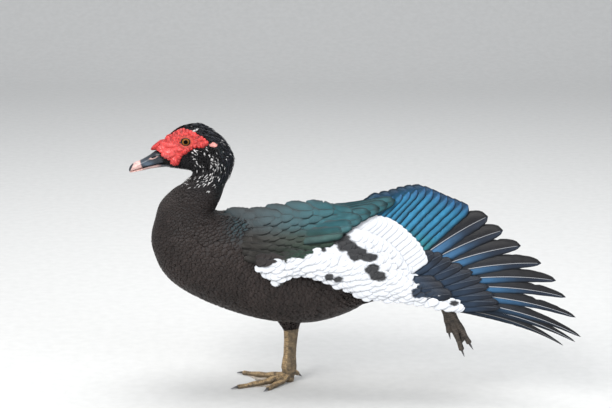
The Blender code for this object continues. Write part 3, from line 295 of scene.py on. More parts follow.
def grid_normals(points, wrap=False):
    """Unit normals of a grid of points, from the cross product of its two directions."""
    along = np.gradient(points, axis=0)
    if wrap:
        across = (np.roll(points, -1, axis=1) - np.roll(points, 1, axis=1)) / 2
    else:
        across = np.gradient(points, axis=1)
    return unit(np.cross(along, across))


def tube(rings):
    """A closed tube over a stack of rings of equal counts, with a fan to a middle point at each end.

    Gives the points and the loops and totals of its faces.
    """
    rings = np.asarray(rings, float)
    count, around, _ = rings.shape
    points = np.vstack([rings.reshape(-1, 3), rings[0].mean(axis=0)[None], rings[-1].mean(axis=0)[None]])
    quads = grid_quads(count, around, True)
    i = np.arange(around)
    j = (i + 1) % around
    first = np.stack([np.full(around, count * around), j, i], axis=1)
    last = np.stack([np.full(around, count * around + 1), (count - 1) * around + i, (count - 1) * around + j],
                    axis=1)
    loops = np.concatenate([quads.ravel(), first.ravel(), last.ravel()])
    totals = np.concatenate([np.full(len(quads), 4), np.full(2 * around, 3)])
    return points, loops, totals


def join(parts):
    """Several (points, loops, totals) sets as one."""
    points, loops, totals, start = [], [], [], 0
    for p, l, t in parts:
        points.append(p)
        loops.append(np.asarray(l) + start)
        totals.append(t)
        start += len(p)
    return np.vstack(points), np.concatenate(loops), np.concatenate(totals)


def face_out(made):
    """Turns the faces of a closed mesh outwards, by the sign of its volume."""
    mesh = made.data
    mesh.calc_loop_triangles()
    corners = read_all(mesh.loop_triangles, "vertices", 3, np.int32)
    a, b, c = (read_all(mesh.vertices, "co", 3)[corners[:, k]] for k in range(3))
    if np.einsum("ij,ij->i", a, np.cross(b, c)).sum() < 0:
        mesh.flip_normals()
    return made


# The skin as a swept surface

def ring_surface(rows, angles, inset):
    """Points of the body's sweep.

    Each ring has its middle halfway between its upper and lower point. A point at an angle lies that
    far round a full oval, whose one axis joins the two points and whose other axis is the half width
    along Y. inset is the share of the coat's depth that the ring is drawn in by.
    """
    table = smooth_rows(RING_ROWS, rows)
    top, low = table[:, 0:2], table[:, 2:4]
    axis = top - low
    reach = np.linalg.norm(axis, axis=1, keepdims=True)
    depth = table[:, 5:6] * inset
    middle = (top + low) / 2
    half = axis / reach * (reach / 2 - depth)
    wide = table[:, 4:5] - depth
    c, s = np.cos(angles), np.sin(angles)
    c, s = (np.sign(v) * np.abs(v) ** (2 / FULLNESS) for v in (c, s))
    x = middle[:, :1] + half[:, :1] * c
    z = middle[:, 1:] + half[:, 1:] * c
    y = BODY_Y + wide * s
    return np.stack([x, y, z], axis=-1)


class Sweep:
    """A closed sweep of rings with its normals and its two directions at every point."""

    def __init__(self, grid):
        spread = grid - grid.mean(axis=1, keepdims=True)
        if np.einsum("ijk,ijk->", grid_normals(grid, True), spread) < 0:
            grid = grid[:, ::-1]
        self.grid = grid
        self.rows, self.round = grid.shape[:2]
        self.normal = grid_normals(grid, True)
        self.along = np.gradient(grid, axis=0)
        self.across = (np.roll(grid, -1, axis=1) - np.roll(grid, 1, axis=1)) / 2


SKIN_ROWS = 620
SKIN_ROUND = 240
skin_places = np.linspace(0.02, len(RING_ROWS) - 1.02, SKIN_ROWS)
body_sweep = Sweep(ring_surface(skin_places, turns(SKIN_ROUND), 1.0))


def read_skin(grid, row, column):
    """Values of a skin grid at any places, blended between its four nearest points."""
    row = np.clip(row, 0, grid.shape[0] - 1.001)
    r, c = np.floor(row).astype(int), np.floor(column).astype(int)
    u, v = (row - r)[..., None], (column - c)[..., None]
    a, b = c % grid.shape[1], (c + 1) % grid.shape[1]
    return ((grid[r, a] * (1 - v) + grid[r, b] * v) * (1 - u)
            + (grid[r + 1, a] * (1 - v) + grid[r + 1, b] * v) * u)


# Feathers of the body

DRAWS = 5.0
NEAREST = 0.78


def spread_roots(first, last, space, seed, sweep=body_sweep, places=skin_places):
    """Roots spread evenly over a sweep from one place along it to another.

    Points are drawn at random by area and kept where no kept one lies nearer than a share, NEAREST, of
    the spacing there. Gives the rows, the columns and the points.
    """
    chance = np.random.default_rng(seed)
    low, high = (int(np.interp(v, places, np.arange(sweep.rows))) for v in (first, last))
    area = np.linalg.norm(np.cross(sweep.along[low:high], sweep.across[low:high]), axis=-1)
    gap = np.interp(places[low:high], *space)
    weight = (area / gap[:, None] ** 2).ravel()
    total = int(weight.sum() * DRAWS)
    picked = np.searchsorted(np.cumsum(weight) / weight.sum(), chance.random(total))
    row = low + picked // sweep.round + chance.random(total)
    column = picked % sweep.round + chance.random(total)
    at = read_skin(sweep.grid, row, column)
    near = np.interp(np.interp(row, np.arange(sweep.rows), places), *space) * NEAREST
    cell = np.floor(at / near.max()).astype(int)
    kept, shelf = [], {}
    for k in range(total):
        x, y, z = cell[k]
        gaps = (at[k] - at[other] for dx, dy, dz in itertools.product((-1, 0, 1), repeat=3)
                for other in shelf.get((x + dx, y + dy, z + dz), ()))
        if not any(gap @ gap < near[k] ** 2 for gap in gaps):
            shelf.setdefault((x, y, z), []).append(k)
            kept.append(k)
    return row[kept], column[kept], at[kept]


TUFT_ROWS = 5
TUFT_COLUMNS = 5


def tuft_faces():
    """Faces of one small feather: a grid on top, and below it a strip from rim to rim."""
    r, c = TUFT_ROWS, TUFT_COLUMNS
    faces = [list(f) for f in grid_quads(r, c)]
    faces.append([c, *range(c - 1, -1, -1)][::-1] + [2 * c - 1])
    for k in range(1, r - 2):
        faces.append([k * c, k * c + c - 1, (k + 1) * c + c - 1, (k + 1) * c][::-1])
    tip = list(range((r - 1) * c, r * c))
    faces.append([(r - 2) * c + c - 1, (r - 2) * c] + tip)
    return [face[::-1] for face in faces]


def tufts(name, row, column, length, width, rise, sink, tint, edge, sheen, finish, seed, turn=0.12,
          rag=0.16, camber=0.16, point=0.0, sweep=body_sweep):
    """Small feathers that lie along the body from their roots.

    Each is a grid of points in the skin's own two directions: its half width follows a rounded
    outline, its height over the skin climbs from below it at the root to rise at the tip, and its
    middle stands above its rims. Its tip is ragged. Its colour is tint in the middle and edge
    along the rims and the tip.
    """
    chance = np.random.default_rng(seed)
    count = len(row)
    a = np.linspace(0, 1, TUFT_ROWS)[None, :, None]
    c = np.linspace(-1, 1, TUFT_COLUMNS)[None, None, :]
    shape = np.interp(a, (0.0, 0.3, 0.65, 0.86, 1.0), (0.62, 0.94, 1.0 - 0.2 * point, 0.97 - 0.6 * point,
                                                        0.86 - 0.78 * point))
    here = read_skin(sweep.along, row, column)
    around = read_skin(sweep.across, row, column)
    pace = np.linalg.norm(here, axis=1)[:, None, None]
    girth = np.linalg.norm(around, axis=1)[:, None, None]
    swing = chance.normal(0, turn, count)[:, None, None]
    long = (length * chance.uniform(0.88, 1.12, count))[:, None, None]
    wide = (width * chance.uniform(0.9, 1.1, count))[:, None, None] / 2
    ragged = chance.uniform(-1, 1, (count, 1, TUFT_COLUMNS)) * rag
    forward = long * a * (1 - 0.25 * (c * a) ** 2 + ragged * a**4)
    beside = wide * c * shape
    down = forward * np.cos(swing) - beside * np.sin(swing)
    across = forward * np.sin(swing) + beside * np.cos(swing)
    rows, columns = row[:, None, None] + down / pace, column[:, None, None] + across / girth
    rise = np.asarray(rise, float).reshape(-1, 1, 1)
    lift = (-sink + (rise + sink) * a**0.8)[..., None]
    hump = (camber * wide * (1 - c**2) * (0.4 + 0.6 * a) * shape)[..., None]
    points = read_skin(sweep.grid, rows, columns) + read_skin(sweep.normal, rows, columns) * (lift + hump)
    faces = tuft_faces()
    flat = np.concatenate([np.array(f) for f in faces])
    stride = TUFT_ROWS * TUFT_COLUMNS
    loops = (np.arange(count)[:, None] * stride + flat[None]).ravel()
    totals = np.tile([len(f) for f in faces], count)
    rim = np.clip(np.abs(c) ** 3 * 0.8 * smoothstep(0.3, 0.8, a) + smoothstep(0.76, 1.0, a), 0, 1)[..., None]
    colour = tint[:, None, None, :] * (1 - rim) + edge[:, None, None, :] * rim
    # Painted shade: each feather is darker at its root, where the feathers over it cover it.
    colour = colour * (0.78 + 0.22 * smoothstep(0.05, 0.5, a))[..., None] * np.ones((count, 1, 1, 3))
    own = np.stack([column / sweep.round % 1.0, row / sweep.rows], axis=-1)[:, None, None, :] * 0.99 + 0.003
    patch = np.stack(np.broadcast_arrays(c * 0.0015, a * 0.003), axis=-1)
    vane = np.stack(np.broadcast_arrays((c + 1) / 2, a), axis=-1) * np.ones((count, 1, 1, 1))
    kind = np.broadcast_to(np.asarray(sheen, float).reshape(-1, 1, 1), (count, TUFT_ROWS, TUFT_COLUMNS))
    made = put_mesh(name, points, loops, totals, finish,
                    uvs={"OFBake": own + patch * np.ones((count, 1, 1, 1)), "Vane": vane},
                    colours={"Tint": colour}, values={"Sheen": kind})
    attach(made, "root")
    return made


def blend(low, high, share):
    """One colour or point for each share, from low at zero to high at one."""
    share = np.asarray(share, float)[..., None]
    return np.asarray(low) * (1 - share) + np.asarray(high) * share


def towards(colour, goal, share):
    """A colour moved by a share of the way to another."""
    return colour + (np.asarray(goal) - colour) * np.asarray(share)[..., None]


def body_colours(at, seed):
    """Base and edge colour of each small feather by its place on the bird.

    Brown-black on the breast and belly with paler edges, deep black on the upper neck and head,
    grey-brown down the front of the neck, and greenish black on the back.
    """
    chance = np.random.default_rng(seed)
    x, z = at[:, 0], at[:, 2]
    mottle = hash_noise(at, 0.03, 3) * 0.5 + hash_noise(at, 0.009, 4) * 0.5
    dark = smoothstep(0.285, 0.33, z)
    back = smoothstep(0.225, 0.255, z) * smoothstep(-0.085, -0.05, x)
    front = smoothstep(0.03, 0.0, x - (-0.15 + 0.9 * (z - 0.29))) * smoothstep(0.265, 0.3, z)
    front = front * (1 - smoothstep(0.322, 0.336, z))
    tint = blend(BROWN_BLACK, BLACK, np.maximum(dark, 0.35 * smoothstep(0.2, 0.26, z)))
    tint = towards(tint, (0.012, 0.038, 0.046), back * 0.8)
    edge = blend(EDGE_BROWN, np.array(BLACK) * 2.2, np.maximum(dark, back * 0.7))
    grey = np.array((0.095, 0.08, 0.074))
    edge = towards(edge, grey, 0.8 * front)
    tint = towards(tint, grey * 0.45, 0.6 * front)
    tone = (1 + 0.38 * mottle + 0.11 * chance.normal(0, 1, len(x)))[:, None]
    tone = np.clip(tone, 0.35, 2.2)
    return tint * tone, edge * tone


# Places of the thin white feathers of the head and throat: middle, reach and share of white.
WHITE_SPOTS = (
    ((-0.092, 0.352), (0.022, 0.011), 0.3), ((-0.077, 0.343), (0.014, 0.012), 0.48),
    ((-0.085, 0.325), (0.014, 0.012), 0.5), ((-0.093, 0.312), (0.022, 0.008), 0.34),
    ((-0.1, 0.363), (0.011, 0.004), 0.55), ((-0.066, 0.38), (0.007, 0.01), 0.45),
    ((-0.1115, 0.3915), (0.0045, 0.0035), 0.75), ((-0.118, 0.318), (0.012, 0.008), 0.35),
)


def white_share(at):
    """How likely a small feather of the head is white at its place."""
    x, z = at[:, 0], at[:, 2]
    share = np.zeros(len(x))
    for (mx, mz), (rx, rz), most in WHITE_SPOTS:
        share = np.maximum(share, most * np.exp(-((x - mx) / rx) ** 2 - ((z - mz) / rz) ** 2))
    return share


def outside_face(at, margin=0.0):
    """Whether a place on the head lies clear of the bare skin of the face."""
    x, z = at[:, 0], at[:, 2]
    crown = np.abs(at[:, 1] - BODY_Y) < np.interp(x, CROWN_X, CROWN_HALF)
    patch = np.hypot((x - EAR_PATCH[0]) / 0.0062, (z - EAR_PATCH[1]) / 0.0034) < 1
    return ((distance_inside(FACE_OUTLINE, x, z) < -margin) | crown) & ~patch


def place_of(row):
    """Places along the body's rings for rows of the skin grid."""
    return np.interp(row, np.arange(SKIN_ROWS), skin_places)


def build_body_feathers(finish):
    """The small feathers of torso, neck and head in four pieces."""
    space = ((16.0, 18.0, 24.0, 30.0), (0.0038, 0.005, 0.0058, 0.0055))
    row, column, at = spread_roots(17.0, 29.2, space, 11)
    tint, edge = body_colours(at, 12)
    long = np.interp(place_of(row), (17, 20, 24, 29), (0.0115, 0.016, 0.0185, 0.02))
    order = np.argsort(at[:, 0])
    half = len(order) // 2
    for label, part in (("breast_feathers", order[:half]), ("rump_feathers", order[half:])):
        tufts(label, row[part], column[part], long[part], long[part] * 0.74, 0.0014, 0.001,
              tint[part], edge[part], 0.1, finish, 21, 0.05, 0.02, 0.07)

    space = ((10.0, 13.0, 16.0, 18.0), (0.0024, 0.0027, 0.0034, 0.004))
    row, column, at = spread_roots(10.5, 18.2, space, 13)
    tint, edge = body_colours(at, 14)
    long = np.interp(place_of(row), (10, 13, 16, 18), (0.0085, 0.0095, 0.012, 0.014))
    tufts("neck_feathers", row, column, long, long * 0.56, 0.0008, 0.0006, tint, edge, 0.12, finish, 22,
          0.06, 0.03, 0.07)

    row, column, at = spread_roots(0.6, 11.2, ((0.0, 4.0, 11.0), (0.0017, 0.0019, 0.0024)), 16)
    clear = outside_face(at)
    row, column, at = row[clear], column[clear], at[clear]
    tint, edge = body_colours(at, 17)
    tint = towards(tint, (0.012, 0.018, 0.028), smoothstep(0.382, 0.396, at[:, 2]) * 0.5)
    long = np.interp(place_of(row), (0.6, 4, 7, 11), (0.003, 0.0052, 0.0075, 0.009))
    long = long * np.where(at[:, 2] < 0.352, 0.75, 1.0)
    tufts("head_feathers", row, column, long, long * 0.4, 0.0009, 0.0006, tint, edge, 0.25, finish, 23,
          0.14, 0.14, 0.08)


def build_white_flecks(finish):
    """Thin white feathers strewn over cheek, ear, throat and nape."""
    row, column, at = spread_roots(3.0, 16.0, ((3.0, 9.0, 16.0), (0.0019, 0.0025, 0.0032)), 18)
    chance = np.random.default_rng(19)
    keep = (chance.random(len(at)) < white_share(at)) & outside_face(at, 0.001)
    row, column = row[keep], column[keep]
    count = len(row)
    tone = chance.uniform(0.35, 0.8, (count, 1)) * np.array((1.0, 0.98, 0.97))
    long = chance.uniform(0.003, 0.0078, count)
    tufts("white_flecks", row, column, long, long * chance.uniform(0.26, 0.5, count),
          chance.uniform(0.0013, 0.0024, count), 0.0002, tone, tone, 0.0, finish, 24, 0.3, 0.3, 0.1, 0.7)


def build_crest(finish):
    """Longer, narrow feathers of the crown and nape, which lie back and stand a little off."""
    row, column, at = spread_roots(5.0, 11.5, ((5.0, 11.0), (0.0031, 0.0036)), 31)
    angle = (column / SKIN_ROUND * 2 * math.pi + math.pi) % (2 * math.pi) - math.pi
    keep = (np.abs(angle) < 0.95) & outside_face(at, 0.002)
    row, column, at = row[keep], column[keep], at[keep]
    chance = np.random.default_rng(32)
    tint = np.array((0.0075, 0.0085, 0.012)) * chance.uniform(0.6, 1.8, (len(row), 1))
    rise = chance.uniform(0.001, 0.003, len(row))
    tufts("crest_feathers", row, column, chance.uniform(0.013, 0.021, len(row)), np.full(len(row), 0.0028),
          rise, 0.0008, tint, tint * 1.8, 0.5, finish, 33, 0.14, 0.1, 0.25, 0.8)


# Long feathers: flight feathers, coverts, scapulars and tail

def left_sheet(x, z, lift):
    """Points of the stretched wing.

    The depth is read from the station, leans in towards the top, folds in over the back near the
    shoulder and comes forward by the lift.
    """
    near = np.clip(1.0 - x / 0.17, 0, 1)
    fold = SHOULDER_FOLD * np.maximum(0.0, z - 0.225) ** 2 * near * near * (3 - 2 * near)
    y = np.interp(x, SHEET_X, SHEET_Y) + SHEET_LEAN * (z - SHEET_LEVEL) + fold - lift
    return np.stack([x, y, z], axis=-1)


fold_table = smooth_rows(FOLD_ROWS, np.linspace(0, len(FOLD_ROWS) - 1, 90))


def right_sheet(x, z, lift):
    """Points of the folded wing: an oval shell round the right flank, grown by the lift."""
    middle, half, width = (np.interp(x, fold_table[:, 0], fold_table[:, k]) for k in (1, 2, 3))
    share = np.minimum(0.96, np.abs((z - middle) / (half + lift)))
    y = BODY_Y + (width + lift) * (1 - share**2.25) ** (1 / 2.25)
    return np.stack([x, y, z], axis=-1)


class Vanes:
    """A set of long feathers that grows by one feather at a time and becomes one mesh."""

    def __init__(self, rows, columns, seed):
        self.rows = rows
        self.columns = columns
        self.chance = np.random.default_rng(seed)
        self.parts, self.tints, self.vanes, self.sheens = [], [], [], []

    def keep(self, part, tint, vane, sheen):
        """One more part with its colours, its place on the vane and its sheen."""
        self.parts.append(part)
        self.tints.append(tint)
        self.vanes.append(vane)
        self.sheens.append(np.full(len(tint), sheen))

    def lay(self, sheet, root, tip, outer, inner, bend, taper, lift, paint, shaft_tint, sheen=0.4,
            camber=0.1, start_lift=ROOT_LIFT, louvre=LOUVRE, thick=0.0004, curl=0.0,
            shaft_width=0.0007, blunt=1.0):
        """One feather from its root to its tip on a sheet.

        The shaft is a curve whose turn grows as the 1.6th power of its length. A point of the vane
        stands off the shaft by a width that rises quickly, stays full and rounds off at the tip. Its
        height over the sheet climbs from the sunk root, tilts like a louvre from vane to vane and
        bulges between shaft and rim. The same grid is repeated below it and joined round the rim.
        """
        r, c = self.rows, self.columns
        a = np.linspace(0, 1, r) ** 0.92
        turn = math.radians(bend) * a**1.6
        step, middle = np.diff(a), (turn[1:] + turn[:-1]) / 2
        along = np.concatenate([[0], np.cumsum(step * np.cos(middle))])
        across = np.concatenate([[0], np.cumsum(step * np.sin(middle))])
        root, tip = np.array(root, float), np.array(tip, float)
        length = np.linalg.norm(tip - root) / math.hypot(along[-1], across[-1])
        angle = math.atan2(*(tip - root)[::-1]) + math.atan2(across[-1], along[-1])
        fullness = np.interp(a, (0.0, 0.12, 0.3, 1.0), (0.45, 0.85, 1.0, 1.0))
        end = np.clip((1 - a) / (0.14 * blunt + 0.1 * taper), 0, 1)
        rounding = np.sqrt(np.clip(1 - (1 - end) ** 2, 0, 1))
        narrow = 1 - taper * smoothstep(0.35, 1.0, a) * 0.72
        full = fullness * np.maximum(rounding, 0.05) * narrow
        share = np.linspace(-1, 1, c)
        rim = np.abs(share)
        ripple = 1 + 0.02 * self.chance.normal(0, 1, (r, 1)) * (rim**2)[None]
        for _ in range(NOTCHES):
            at = self.chance.uniform(0.35, 0.96)
            deep = self.chance.uniform(0.06, 0.22)
            side = self.chance.choice((-1, 1))
            cut = deep * np.exp(-((a - at) / 0.012) ** 2)[:, None] * np.clip(share * side, 0, 1)[None] ** 3
            ripple = ripple * (1 - cut)
        reach = np.where(share > 0, outer, inner)[None] * share[None] * full[:, None] * ripple
        sweep = 0.25 * rim[None] * np.abs(reach) * smoothstep(0.1, 0.5, a)[:, None]
        u = along[:, None] * length - reach * np.sin(turn)[:, None] + sweep * (1 - a[:, None])
        v = across[:, None] * length + reach * np.cos(turn)[:, None]
        climb = 1 - (1 - np.clip(a / 0.7, 0, 1)) ** 2
        rise = start_lift + (lift - start_lift) * climb + curl * smoothstep(0.6, 1.0, a)
        bulge = camber * (np.abs(reach) * (1 - rim[None])) * 2.2
        height = rise[:, None] + louvre * reach + bulge
        ca, sa = math.cos(angle), math.sin(angle)
        x, z = root[0] + u * ca + v * sa, root[1] + u * sa - v * ca
        top = sheet(x, z, height)
        low = sheet(x, z, height - thick)
        points = np.concatenate([top.reshape(-1, 3), low.reshape(-1, 3)])
        faces = closed_sheet(r, c)
        av, cv = np.broadcast_arrays(a[:, None], share[None])
        colour = paint(av, cv, x, z, self.chance)
        facing = np.cross(top[2, 0] - top[0, 0], top[2, -1] - top[0, 0]) @ (top[1, 1] - low[1, 1])
        if facing > 0:
            faces = faces[:, ::-1]
        colour, vane = colour.reshape(-1, 3), np.stack([(cv + 1) / 2, av], axis=-1).reshape(-1, 2)
        # The lower copy of the vane takes the colour at 0.7: painted shade on its underside.
        self.keep((points, faces.ravel(), np.full(len(faces), 4)),
                  np.concatenate([colour, colour * 0.7]), np.concatenate([vane, vane]), sheen)
        if not shaft_width:
            return
        # The shaft: a thin ridge along the middle that tapers to nothing.
        s = np.arange(0, r, 2)
        mid = (c - 1) // 2
        centre = top[s, mid]
        beside = unit(top[s, mid + 1] - top[s, mid - 1])
        out = unit(top[s, mid] - low[s, mid])
        wide = (shaft_width * (1 - 0.85 * a[s]) + 0.00012)[:, None]
        ridge = np.stack([centre - beside * wide, centre + out * wide * 0.9, centre + beside * wide,
                          centre - out * wide * 0.6], axis=1)
        where = np.concatenate([np.repeat(a[s], 4), [0, 1]])
        self.keep(tube(ridge), np.tile(np.asarray(shaft_tint, float), (len(where), 1)),
                  np.stack([np.full(len(where), 0.5), where], axis=1), 0.1)

    def build(self, name, finish):
        """Joins the feathers to one mesh. Each feather is a strip of its own in the OFBake map."""
        points, loops, totals = join(self.parts)
        step = 1 if len(self.parts[1][0]) == len(self.parts[0][0]) else 2
        count = len(self.parts) // step
        across = int(math.ceil(math.sqrt(count * 2.0)))
        down = int(math.ceil(count / across))
        maps = []
        for k, vane in enumerate(self.vanes):
            n = k // step
            corner = np.array((n % across, n // across), float)
            room = vane * np.array((0.8, 0.88)) + np.array((0.04, 0.06))
            if k % step:
                room = np.stack([0.9 + 0.02 * vane[:, 0], room[:, 1]], axis=1)
            maps.append((corner + room) / np.array((across, down)))
        made = put_mesh(name, points, loops, totals, finish,
                        uvs={"OFBake": np.concatenate(maps), "Vane": np.concatenate(self.vanes)},
                        colours={"Tint": np.concatenate(self.tints)},
                        values={"Sheen": np.concatenate(self.sheens)})
        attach(made, "root")


def on_path(points, share):
    """A point at a share of the count of steps along a path of points."""
    points = np.asarray(points, float)
    where = np.clip(share, 0, 1) * (len(points) - 1)
    k = int(min(where, len(points) - 2)) if len(points) > 1 else 0
    return points[k] + (points[k + 1] - points[k]) * (where - k)


# The stretched wing's feathers: roots and tips as station and height, from the first to the last.
PRIMARY_TIPS = (
    (0.3221, 0.2768), (0.3436, 0.2579), (0.369, 0.2369), (0.3982, 0.213), (0.419, 0.1894),
    (0.433, 0.1666), (0.4466, 0.139), (0.4539, 0.112), (0.446, 0.1045), (0.429, 0.0985),
)
PRIMARY_ROOTS = ((0.203, 0.201), (0.256, 0.148))
SECONDARY_TIPS = (
    (0.2934, 0.2926), (0.2818, 0.2973), (0.2687, 0.302), (0.2557, 0.3082), (0.2427, 0.3136),
    (0.2296, 0.3169), (0.215, 0.3145), (0.2019, 0.3099), (0.1873, 0.3054), (0.1713, 0.3009),
)
SECONDARY_ROOTS = ((0.198, 0.205), (0.101, 0.24))
GREATER_TIPS = (
    (0.233, 0.22), (0.229, 0.229), (0.2236, 0.2375), (0.2149, 0.2469), (0.2048, 0.2559),
    (0.1946, 0.2642), (0.1829, 0.2704), (0.1712, 0.2722), (0.16, 0.273),
)
GREATER_ROOTS = ((0.19, 0.188), (0.11, 0.233))
MEDIAN_TIPS = (
    (0.208, 0.201), (0.2018, 0.212), (0.1945, 0.2237), (0.1829, 0.2348), (0.1697, 0.2432),
    (0.1551, 0.249), (0.14, 0.252),
)
MEDIAN_ROOTS = ((0.176, 0.176), (0.085, 0.22))
HAND_TIPS = (
    (0.244, 0.224), (0.256, 0.2222), (0.27, 0.215), (0.285, 0.207), (0.3, 0.1985),
    (0.313, 0.189), (0.323, 0.178), (0.331, 0.167), (0.337, 0.157), (0.339, 0.149),
)
HAND_ROOTS = ((0.2, 0.198), (0.26, 0.148))
ALULA = (((0.188, 0.173), (0.248, 0.185)), ((0.1944, 0.167), (0.258, 0.1775)),
         ((0.204, 0.16), (0.2699, 0.1665)))

# The lower and upper edge of the field of lesser coverts, as stations and heights.
LESSER_LOW = np.array((
    (-0.024, 0.196), (-0.006, 0.186), (0.007, 0.1775), (0.014, 0.178), (0.024, 0.1903), (0.048, 0.1894),
    (0.078, 0.182), (0.112, 0.168), (0.137, 0.1583), (0.17, 0.1554), (0.199, 0.1534), (0.23, 0.1493),
    (0.256, 0.1435), (0.28, 0.14),
))
LESSER_HIGH = np.array((
    (-0.024, 0.226), (0.02, 0.233), (0.06, 0.236), (0.1, 0.243), (0.14, 0.238), (0.17, 0.224),
    (0.19, 0.206), (0.205, 0.182), (0.215, 0.166), (0.24, 0.156), (0.28, 0.142),
))

# The white of the fore wing as an outline, and the black marks in it as middle and reach.
WHITE_OUTLINE = np.array((
    (-0.018, 0.193), (0.018, 0.208), (0.046, 0.215), (0.062, 0.221), (0.075, 0.229), (0.088, 0.229),
    (0.096, 0.237), (0.11, 0.243), (0.126, 0.253), (0.143, 0.274), (0.166, 0.281), (0.178, 0.278),
    (0.2, 0.27), (0.222, 0.254), (0.236, 0.239), (0.246, 0.229), (0.238, 0.215), (0.232, 0.198),
    (0.234, 0.19), (0.231, 0.181), (0.208, 0.173), (0.212, 0.162), (0.27, 0.166), (0.288, 0.16),
    (0.3, 0.144), (0.26, 0.138), (0.17, 0.148), (0.11, 0.16), (0.07, 0.177), (0.03, 0.183),
    (0.008, 0.17), (-0.008, 0.18),
))
BLACK_MARKS = (
    ((0.099, 0.241), (0.018, 0.0075)), ((0.116, 0.233), (0.015, 0.008)), ((0.132, 0.2225), (0.017, 0.0105)),
    ((0.148, 0.2175), (0.012, 0.0075)), ((0.154, 0.202), (0.011, 0.008)), ((0.162, 0.1905), (0.012, 0.008)),
    ((0.092, 0.1885), (0.008, 0.0052)), ((0.104, 0.1855), (0.008, 0.005)), ((0.274, 0.1545), (0.007, 0.004)),
    ((0.108, 0.245), (0.012, 0.005)),
    ((0.083, 0.228), (0.004, 0.004)),
)


def wing_mark(x, z):
    """Share of white and share of black on the fore wing at a place, with uneven edges."""
    wobble = flat_noise(x, z, 0.009, 6) * 0.0035 + flat_noise(x, z, 0.004, 7) * 0.0016
    white = smoothstep(-0.0012, 0.0012, distance_inside(WHITE_OUTLINE, x, z) + wobble)
    black = np.zeros(np.shape(x))
    for (mx, mz), (rx, rz) in BLACK_MARKS:
        away = np.hypot((x - mx) / rx, (z - mz) / rz) + wobble * 70
        black = np.maximum(black, 1 - smoothstep(0.85, 1.05, away))
    return white, black


